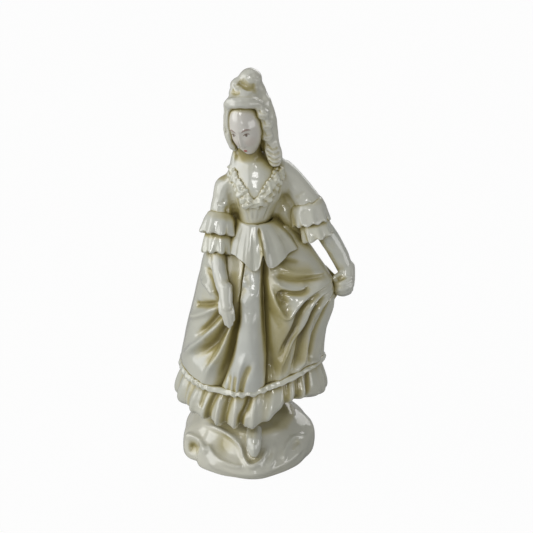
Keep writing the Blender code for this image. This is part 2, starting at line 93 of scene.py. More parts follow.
def nearLine(places, line, reach):
    # distance to a line, and how far along it, for places within reach of it
    near = np.full(len(places), 1e9)
    along = np.zeros(len(places))
    inside = np.all((places > line.min(0) - reach) & (places < line.max(0) + reach), axis=1)
    picked = np.nonzero(inside)[0]
    spots = places[picked]
    best, share = np.full(len(spots), 1e9), np.zeros(len(spots))
    for i, (a, b) in enumerate(zip(line, line[1:])):
        way = b - a
        t = np.clip((spots - a) @ way / max(way @ way, 1e-9), 0, 1)
        apart = np.linalg.norm(spots - a - t[:, None] * way, axis=1)
        closer = apart < best
        best = np.where(closer, apart, best)
        share = np.where(closer, (i + t) / (len(line) - 1), share)
    near[picked], along[picked] = best, share
    return near, along


# clay: a mesh that is shaped in millimetres

class Clay:
    def __init__(self, bm):
        self.mesh = bpy.data.meshes.new("clay")
        bm.to_mesh(self.mesh)
        bm.free()
        self.places = np.zeros(len(self.mesh.vertices) * 3)
        self.mesh.vertices.foreach_get("co", self.places)
        self.places = self.places.reshape(-1, 3)
        edges = np.zeros(len(self.mesh.edges) * 2, int)
        self.mesh.edges.foreach_get("vertices", edges)
        self.edges = edges.reshape(-1, 2)
        self.mesh.calc_loop_triangles()
        corners = np.zeros(len(self.mesh.loop_triangles) * 3, int)
        self.mesh.loop_triangles.foreach_get("vertices", corners)
        self.corners = corners.reshape(-1, 3)
        # ochre per point, which also carries painted shade in some places
        self.stainAndShade = np.zeros(len(self.places))

    def normals(self):
        a, b, c = (self.places[self.corners[:, i]] for i in range(3))
        flat = np.cross(b - a, c - a)
        total = np.zeros_like(self.places)
        for i in range(3):
            for axis in range(3):
                total[:, axis] += np.bincount(self.corners[:, i], flat[:, axis], len(self.places))
        return total / np.maximum(np.linalg.norm(total, axis=1), 1e-12)[:, None]

    def smooth(self, times, amount=0.5):
        ends = self.edges
        count = np.bincount(ends.ravel(), minlength=len(self.places))[:, None]
        for _ in range(times):
            total = np.zeros_like(self.places)
            for axis in range(3):
                total[:, axis] += np.bincount(ends[:, 0], self.places[ends[:, 1], axis], len(total))
                total[:, axis] += np.bincount(ends[:, 1], self.places[ends[:, 0], axis], len(total))
            self.places += amount * (total / np.maximum(count, 1) - self.places)

    def strokes(self, rows, ends=0.2, power=2.0):
        # raises (or with a negative height cuts) rounded lines that lie on the surface
        tree = BVHTree.FromPolygons(self.places.tolist(), self.corners.tolist())
        raised = np.zeros(len(self.places))
        for points, width, height, stainAndShade in rows:
            line = np.array([tree.find_nearest(Vector(p))[0] for p in curveThrough(points)])
            near, along = nearLine(self.places, line, 3 * width)
            fade = ease(0, ends, along) * ease(0, ends, 1 - along) if ends else 1.0
            amount = bump(near, width, power) * fade
            raised += height * amount
            self.stainAndShade = np.maximum(self.stainAndShade, stainAndShade * amount)
        self.places += self.normals() * raised[:, None]

    def stroke(self, points, width, height, ends=0.2, stainAndShade=0.0):
        self.strokes([(points, width, height, stainAndShade)], ends)

    def lump(self, centre, width, height, stainAndShade=0.0):
        amount = bump(np.linalg.norm(self.places - np.array(centre), axis=1), width)
        self.places += self.normals() * (height * amount)[:, None]
        self.stainAndShade = np.maximum(self.stainAndShade, stainAndShade * amount)

    def roughen(self, size, height, seed):
        self.places += self.normals() * (height * wobble(self.places, size, seed))[:, None]

    def finish(self, name, nodes, material, finishSlot):
        self.mesh.vertices.foreach_set("co", (self.places * mm).ravel())
        layer = self.mesh.attributes.new("stainAndShade", "FLOAT", "POINT")
        layer.data.foreach_set("value", self.stainAndShade)
        self.mesh.update()
        self.mesh.shade_smooth()
        self.mesh.materials.append(material)
        self.mesh.name = name + "_cast"
        piece = bpy.data.objects.new(name + "_cast", self.mesh)
        bpy.context.scene.collection.objects.link(piece)
        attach(piece, "root")
        if nodes:
            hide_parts(*nodes)
        return piece


def onBox(node, x, y, z):
    # a place in a section's box, in mm, from shares of its three sides
    low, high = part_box(node)
    return [(low[i] + (high[i] - low[i]) * share) / mm for i, share in enumerate((x, y, z))]


def sectionOf(*nodes):
    # the own surface of one or more sections with loose triangles merged, in mm
    bm = bmesh.new()
    for node in nodes:
        bm.from_mesh(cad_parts[node].data)
    bmesh.ops.remove_doubles(bm, verts=bm.verts, dist=1e-7)
    bmesh.ops.scale(bm, vec=(1 / mm,) * 3, verts=bm.verts)
    return bm


def addChain(bm, points, radii, steps=6, detail=2):
    # a rounded limb of clay balls along a curve
    line = curveThrough(points, steps)
    sizes = np.interp(np.linspace(0, 1, len(line)), np.linspace(0, 1, len(radii)), radii)
    for spot, radius in zip(line, sizes):
        bmesh.ops.create_icosphere(
            bm, subdivisions=detail, radius=radius, matrix=Matrix.Translation(Vector(spot))
        )


def remeshed(bm, voxel, swell=0.0, smoothing=0):
    # one closed skin of even squares round everything in bm
    blank = bpy.data.meshes.new("blank")
    bm.to_mesh(blank)
    bm.free()
    body = bpy.data.objects.new("blank", blank)
    bpy.context.scene.collection.objects.link(body)
    if swell:
        grow = body.modifiers.new("swell", "DISPLACE")
        grow.mid_level = 0
        grow.strength = swell
    skin = body.modifiers.new("skin", "REMESH")
    skin.mode = "VOXEL"
    skin.voxel_size = voxel
    if smoothing:
        relax = body.modifiers.new("relax", "SMOOTH")
        relax.iterations = smoothing
    shaped = bmesh.new()
    shaped.from_object(body, bpy.context.evaluated_depsgraph_get())
    bpy.data.objects.remove(body)
    bpy.data.meshes.remove(blank)
    return Clay(shaped)


def castCopy(node, voxel=0.2, swell=0.3, smoothing=10):
    return remeshed(sectionOf(node), voxel, swell, smoothing)


def joined(bm, voxel, reach, smoothing):
    # swells, makes one skin and shrinks it back, so that glaze fills the gaps between neighbours
    clay = remeshed(bm, voxel, reach, smoothing)
    clay.places -= clay.normals() * (reach * 0.75)
    clay.smooth(4)
    return clay


def spunBlank(profile, turns=360):
    # a profile of (share outwards, height) spun about Z
    bm = bmesh.new()
    verts = [bm.verts.new((share, 0, height)) for share, height in profile]
    edges = [bm.edges.new(pair) for pair in zip(verts, verts[1:])]
    if profile[0][0] > 1e-6:
        edges.append(bm.edges.new((verts[-1], verts[0])))
    bmesh.ops.spin(
        bm, geom=verts + edges, cent=(0, 0, 0), axis=(0, 0, 1),
        angle=fullTurn, steps=turns, use_merge=True,
    )
    bmesh.ops.remove_doubles(bm, verts=bm.verts, dist=1e-5)
    bmesh.ops.recalc_face_normals(bm, faces=bm.faces)
    return bm


def denseProfile(points, spacing):
    # the profile with its sides cut to short steps, lengths measured by the given scale of each column
    scale = np.array(spacing, float)
    rows = [np.array(points[0], float)]
    for a, b in zip(points, points[1:]):
        a, b = np.array(a, float), np.array(b, float)
        cuts = max(1, int(np.ceil(np.abs((b - a) / scale).max())))
        rows += [a + (b - a) * (i + 1) / cuts for i in range(cuts)]
    return [tuple(row) for row in rows]


# glaze

class Socket:
    # wraps a socket so that sums on it add Math nodes
    def __init__(self, nodes, socket):
        self.nodes, self.socket = nodes, socket

    def maths(self, operation, *values):
        return self.nodes.add("ShaderNodeMath", {"operation": operation}, dict(enumerate(values)))

    def __add__(self, other):
        return self.maths("ADD", self, other)

    def __sub__(self, other):
        return self.maths("SUBTRACT", self, other)

    def __rsub__(self, other):
        return self.maths("SUBTRACT", other, self)

    def __mul__(self, other):
        return self.maths("MULTIPLY", self, other)

    __radd__ = __add__
    __rmul__ = __mul__

    def clamped(self, low=0.0, high=1.0):
        ramp = {"interpolation_type": "SMOOTHSTEP"}
        return self.nodes.add("ShaderNodeMapRange", ramp, {"Value": self, "From Min": low, "From Max": high})


class Glaze:
    def __init__(self, name):
        self.material = bpy.data.materials.new(name)
        self.material.use_nodes = True
        self.tree = self.material.node_tree
        self.shader = self.tree.nodes["Principled BSDF"]

    def link(self, target, value):
        if isinstance(value, Socket):
            self.tree.links.new(value.socket, target)
        else:
            target.default_value = value

    def add(self, kind, settings=None, values=None, output=0):
        node = self.tree.nodes.new(kind)
        for key, value in (settings or {}).items():
            setattr(node, key, value)
        for key, value in (values or {}).items():
            self.link(node.inputs[key], value)
        return Socket(self, node.outputs[output])

    def place(self):
        return self.add("ShaderNodeTexCoord", output="Object")

    def noise(self, scale, detail=2.0, roughness=0.5, distortion=0.0):
        values = {
            "Vector": self.place(), "Scale": scale, "Detail": detail,
            "Roughness": roughness, "Distortion": distortion,
        }
        return self.add("ShaderNodeTexNoise", {}, values, "Fac")

    def mixed(self, share, first, second):
        return self.add(
            "ShaderNodeMix", {"data_type": "RGBA"}, {0: share, 6: first, 7: second}, 2
        )

    def crevice(self, distance, ownOnly=False):
        # 0 in the open and 1 deep between folds
        settings = {"samples": 8, "only_local": ownOnly}
        return 1.0 - self.add("ShaderNodeAmbientOcclusion", settings, {"Distance": distance}, "AO")


glazeColours = {
    "porcelain": (0.67, 0.672, 0.595, 1),
    "cream": (0.57, 0.53, 0.34, 1),
    "ochre": (0.365, 0.312, 0.110, 1),
    "deep": (0.195, 0.158, 0.052, 1),
    "speck": (0.16, 0.13, 0.08, 1),
}
cooler = (0.88, 0.90, 0.93, 1)  # what the greyer patches keep of the body's red, green and blue


def glazed(name, colour=None, stainAndShadeAmount=1.0, paint=None, ownOnly=False, coatBlur=0.035):
    g = Glaze(name)
    colours = glazeColours
    body = colour or colours["porcelain"]
    broad = g.noise(55.0, 3.0)
    patchy = g.noise(190.0, 4.0, 0.6)
    fine = g.noise(900.0, 3.0, 0.6)
    # the stain attribute: ochre in folds and hollows, and painted shade under the chin, on the chest, under
    # the hem and on parts of the skirts
    stainAndShadeAttribute = g.add("ShaderNodeAttribute", {"attribute_name": "stainAndShade"}, {}, "Fac")
    narrow = g.crevice(0.0022, ownOnly)
    wide = g.crevice(0.008, ownOnly)
    depth = narrow * 0.55 + wide * 0.90 + stainAndShadeAttribute * 0.62 - 0.21
    depth = depth * (0.55 + patchy * 0.9) * stainAndShadeAmount
    cool = tuple(a * b for a, b in zip(body, cooler))
    tone = g.mixed(broad.clamped(0.35, 0.7), body, cool)
    tone = g.mixed((depth * 2.2).clamped(0.0, 0.5) * 0.85, tone, colours["cream"])
    tone = g.mixed(depth.clamped(0.10, 0.62), tone, colours["ochre"])
    tone = g.mixed(depth.clamped(0.50, 1.05) * 0.8, tone, colours["deep"])
    specks = g.noise(2600.0, 1.0)
    tone = g.mixed(specks.clamped(0.74, 0.80) * 0.35, tone, colours["speck"])
    if paint:
        tone = paint(g, tone)
    g.link(g.shader.inputs["Base Color"], tone)
    g.link(g.shader.inputs["Roughness"], 0.16 + fine * 0.10 + depth.clamped(0.2, 0.9) * 0.25)
    glazeWaves = g.noise(420.0, 2.0) * 0.7 + g.noise(1500.0, 2.0) * 0.15
    bumpNode = g.add(
        "ShaderNodeBump", {}, {"Strength": 0.22, "Distance": 0.00035, "Height": glazeWaves}, "Normal"
    )
    g.link(g.shader.inputs["Normal"], bumpNode)
    g.shader.inputs["IOR"].default_value = 1.5
    g.shader.inputs["Coat Weight"].default_value = 0.9
    g.shader.inputs["Coat Roughness"].default_value = coatBlur
    g.shader.inputs["Coat IOR"].default_value = 1.5
    g.shader.inputs["Subsurface Weight"].default_value = 0.0
    g.material.diffuse_color = body
    return g.material


# skirts

skirt = {
    "middle": 1.0,  # of the skirts, mm to her left of the origin
    "survey": ("overskirt", "petticoat_panel", "flounce"),
    "low": 12.0,
    "high": 69.0,
    "cell": (360, 150),
    "blur": 5,
}


def surveyedRadius(settings):
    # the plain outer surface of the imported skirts, read from outside and smoothed
    bm = bmesh.new()
    for node in settings["survey"]:
        bm.from_mesh(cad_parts[node].data)
    bmesh.ops.scale(bm, vec=(1 / mm,) * 3, verts=bm.verts)
    tree = BVHTree.FromBMesh(bm)
    bm.free()
    around, up = settings["cell"]
    angles = np.arange(around) / around * fullTurn - np.pi
    heights = np.linspace(settings["low"], settings["high"], up)
    table = np.full((around, up), np.nan)
    far = 60.0
    for i, angle in enumerate(angles):
        way = Vector((np.cos(angle), np.sin(angle), 0))
        for j, height in enumerate(heights):
            start = Vector((settings["middle"], 0, height)) + way * far
            hit = tree.ray_cast(start, -way, far)
            if hit[0] is not None:
                table[i, j] = far - hit[3]
    for j in range(up - 2, -1, -1):  # below the lifted hem the surface goes on straight down
        missing = np.isnan(table[:, j])
        table[missing, j] = table[missing, j + 1]
    for i in range(1, up):
        missing = np.isnan(table[:, i])
        table[missing, i] = table[missing, i - 1]
    for _ in range(settings["blur"] * 3):
        table = (np.roll(table, 1, 0) + 2 * table + np.roll(table, -1, 0)) / 4
        padded = np.pad(table, ((0, 0), (1, 1)), "edge")
        table = (padded[:, :-2] + 2 * table + padded[:, 2:]) / 4

    def read(angle, height):
        a = ((np.asarray(angle) + np.pi) % fullTurn) / fullTurn * around
        h = np.clip((np.asarray(height) - settings["low"]) / (settings["high"] - settings["low"]), 0,
                    1) * (up - 1)
        i, j = np.floor(a).astype(int) % around, np.minimum(h.astype(int), up - 2)
        s, t = a - np.floor(a), h - j
        k = (i + 1) % around
        low = table[i, j] * (1 - s) + table[k, j] * s
        high = table[i, j + 1] * (1 - s) + table[k, j + 1] * s
        return low * (1 - t) + high * t

    return read


print("reading the skirts of the frame")
skirtRadius = surveyedRadius(skirt)


def onSkirt(angle, height, share=1.0, out=0.0):
    radius = skirtRadius(angle, height) * share + out
    x = skirt["middle"] + radius * np.cos(angle)
    return np.stack([x, radius * np.sin(angle), height + 0 * radius], axis=-1)


def foldLine(points):
    points = curveThrough(points, 6)
    return onSkirt(np.radians(points[:, 0]), points[:, 1])


def relief(places, folds):
    # how far folds stand out at each place on the plain skirts, and how much stain lies in them, with the
    # painted shade of some washes
    raised, stainedAndShaded = np.zeros(len(places)), np.zeros(len(places))
    for points, width, height, stainAndShade in folds:
        start, end = width if isinstance(width, tuple) else (width, width)
        near, along = nearLine(places, foldLine(points), 3.2 * max(start, end))
        wide = start + (end - start) * along
        fades = [foldFade + (1 - foldFade) * ease(0, 0.2, way) for way in (along, 1 - along)]
        amount = bump(near, wide) * fades[0] * fades[1]
        raised += height * foldStrength["ridge" if height > 0 else "valley"] * amount
        stainedAndShaded = np.maximum(stainedAndShaded, stainAndShade * amount)
    return raised, stainedAndShaded


# folds: (degrees, height) along each, width at its start and end, how far it stands out, stain
sideFolds = (  # the two long valleys that part the overskirt from the front panel
    (((-121, 26.0), (-118, 31.3), (-114, 34.8), (-111, 38.7), (-109, 42.3), (-106, 45.3), (-105, 50)),
     (1.5, 0.9), -1.7, 0.95),
    (((-64, 62.0), (-67, 59.0), (-70, 56.1), (-73, 52.8), (-73, 48.5), (-73, 43.9), (-72, 39.7), (-71, 35.1),
      (-72, 31.2),
      (-74, 26.5)), (1.0, 2.1), -1.7, 0.9),
)
overskirtFolds = sideFolds + (
    (((-67, 56.4), (-67, 53.7), (-64, 50.4), (-60, 47.8), (-56, 47.1), (-50, 48.8), (-42, 51.3), (-32, 53.3),
      (-22, 54.1),
      (-10, 53.9)), (0.7, 0.75), 1.0, 0),
    (((-60, 53.4), (-57, 52.0), (-55, 49.8)), 1.5, -1.2, 1.1),
    (((-59, 53.1), (-51, 53.1), (-40, 52.8), (-32, 54.6)), 0.7, -0.9, 0.9),
    (((-61, 56.2), (-57, 55.1), (-51, 54.2), (-43, 53.9), (-34, 54.2)), 0.55, 0.55, 0),
    (((-58, 57.3), (-48, 56.4), (-38, 55.7), (-18, 55.4)), 0.75, -1.0, 1.0),
    (((-47, 58.9), (-40, 57.8), (-29, 57.2), (-12, 56.3)), 0.65, 0.6, 0),
    (((-50, 61.5), (-40, 60.5), (-26, 59.6)), 0.9, -0.6, 0.8),
    (((-69, 50.1), (-65, 46.3), (-61, 43.8)), 1.0, -0.6, 0.8),
    (((-31, 52.0), (-40, 50.0), (-46, 47.0), (-50, 43.3), (-55, 39.7), (-61, 36.3)), (0.6, 0.95), -1.4, 1.0),
    (((-16, 52.9), (-31, 51.5), (-39, 48.7), (-44, 44.2), (-51, 40.5), (-57, 36.7), (-63, 33.3),
      (-65, 29.5)), (0.6, 0.85), 1.0, 0),
    (((-28, 51.1), (-35, 48.0), (-39, 43.8), (-43, 38.8), (-47, 34.7), (-54, 30.5)), (0.6, 1.0), -1.25, 0.9),
    (((-15, 51.8), (-27, 49.8), (-34, 46.1), (-37, 42.1), (-40, 37.8), (-43, 33.3), (-47, 31.5)), 0.75, 0.9,
     0),
    (((-18, 50.0), (-22, 48.7), (-26, 44.4), (-31, 40.0), (-34, 35.7), (-38, 32.5)), (0.6, 0.9), -0.95, 0.7),
    (((-13, 49.6), (-19, 43.1), (-21, 37.8), (-22, 32.3)), 1.1, 0.6, 0),
    (((-8, 47.0), (-12, 40.0), (-15, 31.5)), 0.9, -0.7, 0.5),
    (((-37, 32.2), (-29, 31.7), (-6, 27.6)), 0.8, 0.7, 0),
    (((-38, 30.1), (-27, 29.8), (-12, 27.0)), 0.8, -0.6, 0.7),
    (((-166, 46.2), (-159, 46.7), (-145, 48.1), (-125, 50.0)), (1.0, 0.8), -1.0, 0.9),
    (((-172, 42.0), (-159, 43.6), (-145, 45.8), (-135, 47.8), (-125, 49.0)), 0.9, 0.75, 0),
    (((-150, 39.3), (-138, 42.9), (-130, 45.8), (-121, 48.4)), (1.1, 0.8), -1.1, 0.9),
    (((-168, 30.6), (-147, 37.0), (-134, 41.4), (-125, 44.1), (-118, 47.0)), (1.2, 0.7), 0.95, 0),
    (((-146, 34.0), (-134, 37.3), (-126, 40.2), (-120, 43.3), (-115, 46.4)), (1.5, 0.8), -1.4, 1.0),
    (((-135, 32.2), (-128, 36.5), (-123, 39.6)), 1.2, -0.7, 0.9),
    (((-134, 27.5), (-127, 33.1), (-121, 36.2), (-116, 40.0), (-113, 43.3), (-109, 46.4)), (1.1, 0.7), 0.95,
     0),
    (((-160, 57.0), (-153, 56.4), (-141, 55.2), (-132, 53.3), (-128, 50.4)), 0.8, -0.9, 0.9),
    (((-162, 53.8), (-146, 53.2), (-135, 51.6)), 0.8, 0.6, 0),
    (((-150, 60.5), (-140, 59.0), (-131, 56.5)), 0.8, -0.6, 0.8),
)
panelFolds = sideFolds + (
    (((-100, 50.2), (-93, 52.0), (-83, 54.0)), 1.1, 0.25, 0),
    (((-108, 52.4), (-103, 53.3), (-97, 54.8)), 1.1, -0.3, 0.6),
    (((-101, 57.5), (-96, 56.5), (-92, 54.6)), 1.1, -0.2, 0.4),
    (((-90, 35.5), (-95, 32.1), (-98, 29.1), (-100, 25.0)), 0.8, -0.65, 0.7),
    (((-96, 37.0), (-101, 32.5), (-103, 26.0)), 0.7, 0.4, 0),
    (((-104, 31.7), (-105, 28.3), (-105, 25.0)), 0.6, -0.5, 0.7),
    (((-110, 31.5), (-110, 28.1), (-111, 25.0)), 0.7, -0.4, 0.7),
    (((-93, 48.9), (-91, 41.2), (-87, 31.0)), 1.8, 0.5, 0),
    (((-84, 50.0), (-82, 40.0), (-82, 31.0)), 1.0, -0.25, 0.25),
)
stainAndShadeWashes = (  # wide soft ochre on the skirts, with no shape of its own: stain, and painted shade on her left side and between her right forearm and the front panel
    # her left side of the skirts, away from the lamps: stain mixed with painted shade
    (((-64, 58.0), (-62, 50.0), (-60, 42.0), (-62, 34.0), (-66, 29.0)), 3.4, 0.0, 0.75),
    (((-55, 58.5), (-40, 57.5), (-24, 56.0)), 3.6, 0.0, 0.75),
    (((-50, 44.0), (-44, 38.0), (-46, 32.0)), 3.6, 0.0, 0.60),
    (((-36, 48.0), (-30, 40.0), (-32, 32.0)), 3.0, 0.0, 0.40),
    (((-140, 37.0), (-126, 41.0), (-116, 46.0)), 3.0, 0.0, 0.45),
    # painted shade between her right forearm and the front panel
    (((-114, 59.0), (-110, 54.0), (-108, 47.0)), 1.8, 0.0, 0.9),
    (((-126, 52.0), (-120, 48.0), (-112, 44.0)), 2.6, 0.0, 0.70),
    (((-158, 50.0), (-146, 49.5), (-134, 48.0)), 2.2, 0.0, 0.45),
    (((-128, 33.0), (-122, 38.0), (-116, 44.0)), 1.8, 0.0, 0.6),
)
foldFade = 0.35  # what is left of a fold at its very ends
foldStrength = {"ridge": 1.3, "valley": 1.15}
backFolds = {"count": 15, "depth": 0.62, "swing": 0.9}


def backRelief(angle, height):
    # long soft folds round the back that die away below the waist
    settings = backFolds
    behind = ease(0.0, 0.35, np.sin(angle))
    fade = ease(66.0, 42.0, height)
    swing = settings["swing"] * np.sin(height / 9.0 + 3 * angle)
    return settings["depth"] * behind * fade * np.cos(settings["count"] * angle + swing)


lace = {"height": 26.0, "bumps": 46, "wave": 0.62, "ruffle": 0.30}


def laceHeight(angle):
    return (
        lace["height"] + 4.6 * bump(turnBetween(angle, -0.55), 0.75)
        + 1.2 * bump(turnBetween(angle, -3.0), 0.7)
    )


def hemHeight(angle):
    past = turnBetween(angle, -0.96)
    lift = bump(past, np.where(past < 0, 0.34, 0.80))
    return 15.0 + 6.6 * lift + 0.8 * bump(turnBetween(angle, -2.6), 0.5)


panelSides = {  # height, her right edge and her left edge of the front panel, in degrees
    "rows": ((22.0, -125, -76), (28.0, -120, -75), (33.5, -115, -72), (39.6, -110, -71), (45.5, -107, -71),
             (50.0, -105, -71), (56.0, -104, -69), (60.0, -103, -65), (64.0, -103, -62)),
}


def panelShare(angle, height):
    # 0 at her right edge of the front panel and 1 at her left
    rows = np.array(panelSides["rows"], float)
    right = np.interp(height, rows[:, 0], rows[:, 1])
    left = np.interp(height, rows[:, 0], rows[:, 2])
    return (np.degrees(angle) - right) / (left - right)


def makeOverskirt():
    low, high = 26.6, 68.4
    profile = [(0.0, 30.0), (0.86, 30.0), (0.93, low), (0.97, low - 0.3), (1.0, low + 0.2)]
    profile = denseProfile(profile, (0.05, 1.0)) + denseProfile([(1.0, low + 0.2), (1.0, high)],
        (1, 0.29))[1:]
    profile += [(0.8, high + 0.15), (0.4, high + 0.2), (0.0, high + 0.2)]
    clay = Clay(spunBlank(profile, 430))
    x, y, z = clay.places.T
    share, angle = np.hypot(x, y), np.arctan2(y, x)
    rise = 1 - np.clip((z - low) / 20.0, 0, 1)
    height = z + rise * (laceHeight(angle) - lace["height"])
    plain = onSkirt(angle, height)
    raised, stainedAndShaded = relief(plain, overskirtFolds + stainAndShadeWashes)
    behind = backRelief(angle, height)
    raised += behind
    stainedAndShaded = np.maximum(stainedAndShaded, 0.8 * ease(0.1, 0.9, -behind / backFolds["depth"]))
    across = panelShare(angle, height)
    hidden = ease(-0.02, 0.10, across) * ease(1.02, 0.90, across)
    raised = np.where(across < 2, raised - 1.6 * hidden, raised)
    stainedAndShaded = np.maximum(stainedAndShaded, 0.7 * bump(across, 0.12) + 0.6 * bump(across - 1, 0.10))
    raised += 0.10 * wobble(plain, 7.0, 3)
    outer = ease(0.93, 1.0, share)
    clay.places = onSkirt(angle, height, share, raised * outer)
    clay.stainAndShade = stainedAndShaded * outer
    clay.smooth(2, 0.4)
    return clay.finish("overskirt", ["overskirt"], shadedClothGlaze, "glazed_porcelain")


def makePanel():
    bm = bmesh.new()
    bmesh.ops.create_grid(bm, x_segments=84, y_segments=150, size=0.5)
    clay = Clay(bm)
    across, up = clay.places[:, 0] + 0.5, clay.places[:, 1] + 0.5
    rows = np.array(panelSides["rows"], float)
    height = 25.4 + up * (62.5 - 25.4)
    right, left = (np.interp(height, rows[:, 0], rows[:, i]) for i in (1, 2))
    angle = np.radians(right + (left - right) * across)
    height = height + (1 - np.clip((height - 25.4) / 20.0, 0, 1)) * (laceHeight(angle) - lace["height"])
    plain = onSkirt(angle, height)
    raised, stainedAndShaded = relief(plain, panelFolds)
    side = np.minimum(across, 1 - across)
    raised += 0.35 * ease(0.05, 0.4, side) - 2.6 * ease(0.06, 0.0, side) + 0.08 * wobble(plain, 7.0, 5)
    stainedAndShaded = np.maximum(stainedAndShaded, 0.75 * ease(0.14, 0.0, side))
    clay.places = onSkirt(angle, height, 1.0, raised)
    clay.mesh.vertices.foreach_set("co", clay.places.ravel())
    bm = bmesh.new()
    bm.from_mesh(clay.mesh)
    bmesh.ops.solidify(bm, geom=bm.faces[:], thickness=1.4)
    bmesh.ops.recalc_face_normals(bm, faces=bm.faces)
    thick = Clay(bm)
    thick.stainAndShade[: len(stainedAndShaded)] = stainedAndShaded
    return thick.finish("petticoat_panel", ["petticoat_panel"], shadedPanelGlaze, "glazed_porcelain")


flounceFolds = (
    (((-147, 28.0), (-149, 22.0), (-151, 12.0)), 0.9, -0.7, 0.5),
    (((-139, 27.0), (-143, 21.6), (-145, 12.0)), 0.9, 0.6, 0),
    (((-133, 25.6), (-134, 23.1), (-135, 19.8)), 0.7, -0.8, 0.7),
    (((-124, 26.0), (-128, 22.0), (-133, 12.0)), 0.8, 0.6, 0),
    (((-122, 26.0), (-127, 20.8), (-130, 12.0)), 0.9, -1.3, 0.9),
    (((-117, 26.0), (-118, 20.2), (-119, 12.0)), 0.9, 0.8, 0),
    (((-109, 26.0), (-112, 21.0), (-115, 12.0)), 0.9, -1.1, 0.7),
    (((-103, 26.0), (-104, 20.3), (-105, 12.0)), 0.9, 0.8, 0),
    (((-90, 26.5), (-95, 22.2), (-99, 19.1), (-100, 12.0)), 0.85, -1.4, 1.0),
    (((-86, 26.5), (-89, 20.5), (-90, 12.0)), 1.0, 0.9, 0),
    (((-76, 26.5), (-79, 22.1), (-83, 15.0)), 1.2, -0.5, 0.3),
    (((-69, 27.5), (-73, 22.8), (-77, 16.0)), 1.2, 0.5, 0),
    (((-57, 30.0), (-59, 25.9), (-63, 18.0)), 1.0, -0.8, 0.7),
    (((-53, 30.0), (-55, 26.2), (-57, 18.0)), 0.8, 0.5, 0),
    (((-46, 30.0), (-48, 25.6), (-53, 18.0)), 0.9, -1.1, 0.9),
    (((-41, 30.0), (-43, 25.9), (-46, 18.0)), 0.9, 0.6, 0),
    (((-34, 30.5), (-37, 26.9), (-42, 20.0)), 0.9, -1.2, 0.9),
    (((-19, 30.0), (-22, 24.0), (-26, 18.0)), 2.0, 0.8, 0),
)


def makeFlounce():
    outer = [(0.90, 0.03), (0.945, -0.03), (0.985, 0.0), (1.0, 0.10), (1.0, 0.40), (0.985, 0.70), (0.95, 1.0)]
    profile = denseProfile([(0.0, -0.5), (0.52, -0.5), (0.56, -0.3), (0.62, 0.45), (0.84, 0.42),
                            (0.90, 0.03)], (0.04, 0.07))
    profile += denseProfile(outer, (0.02, 0.025))[1:]
    profile += denseProfile([(0.95, 1.0), (0.80, 1.05), (0.0, 1.05)], (0.08, 1.0))[1:]
    clay = Clay(spunBlank(profile, 520))
    x, y, z = clay.places.T
    share, angle = np.hypot(x, y), np.arctan2(y, x)
    bottom, top = hemHeight(angle), laceHeight(angle) + 0.3
    inside = share < 0.6
    height = bottom + (top - bottom) * z
    height = np.where(inside & (z < 0), np.interp(z, (-0.5, 0.0), (11.0, 16.0)), height)
    plain = onSkirt(angle, np.clip(height, 14.0, None))
    raised, stainedAndShaded = relief(plain, flounceFolds)
    shownFolds = ease(-2.75, -2.55, angle) * ease(-0.30, -0.50, angle)
    pleats = np.cos(22 * angle + 0.5 * np.sin(3 * angle)) * 0.55 * (1 - shownFolds)
    raised += pleats
    # ochre in the pleat valleys; the whole flounce is also made a little darker as painted shade
    stainedAndShaded = np.maximum(stainedAndShaded, ease(0.1, 0.8, -pleats) * 0.7) * 0.8 + 0.22
    edge = ease(0.80, 0.96, share)
    raised *= edge * (1.0 - 0.45 * np.clip(z, 0, 1))
    hang = edge * (1 - np.clip(z, 0, 1)) ** 2 * (np.clip(raised, -1.2, 1.0) * 0.45)
    # painted shade on the top of the flounce, under the lace edging
    shadeUnderLace = ease(0.80, 0.98, z) * edge
    places = onSkirt(angle, height, share, raised)
    places[:, 2] -= hang
    clay.places = places
    clay.stainAndShade = np.maximum(stainedAndShaded * edge, shadeUnderLace * 0.6)
    clay.smooth(2, 0.4)
    return clay.finish("flounce", ["flounce"], shadedClothGlaze, "glazed_porcelain")


def makeLace():
    ring = [(np.cos(a), np.sin(a)) for a in np.linspace(0, fullTurn, 21)[:-1]]
    clay = Clay(spunBlank([(3 + u, v) for u, v in ring], 720))
    x, y, z = clay.places.T
    out, angle = np.hypot(x, y) - 3, np.arctan2(y, x)
    phase = lace["bumps"] * angle + 2.2 * np.sin(5 * angle) + 1.6 * np.sin(11 * angle + 1)
    strength = (0.6 + 0.4 * np.sin(7 * angle + 0.5)) * (0.35 + 0.65 * ease(-0.6, -1.6,
        angle) + 0.3 * ease(0.0, 0.6, angle))
    wave = np.cos(phase) * strength
    height = laceHeight(angle)
    drop = 0.5 * z - 0.55 * out + 0.1
    lower = ease(0.3, -0.8, z)
    places = onSkirt(angle, height + drop, 1.0,
                     0.12 + 0.55 * out + lace["ruffle"] * strength * np.sin(phase + 0.6) * ease(-0.4, 0.8,
                         out))
    places[:, 2] += lace["wave"] * wave * (0.35 + 0.65 * lower)
    clay.places = places
    clay.stainAndShade = 0.9 * ease(0.1, -0.6, out)
    clay.smooth(1, 0.3)
    return clay.finish("lace_edging", ["lace_edging"], laceGlaze, "lace_glaze")


# jacket

peplum = {
    "node": "peplum", "waist": 4.4, "flare": (5.2, 1.8), "pleats": 13, "pleatDepth": 0.30,
}


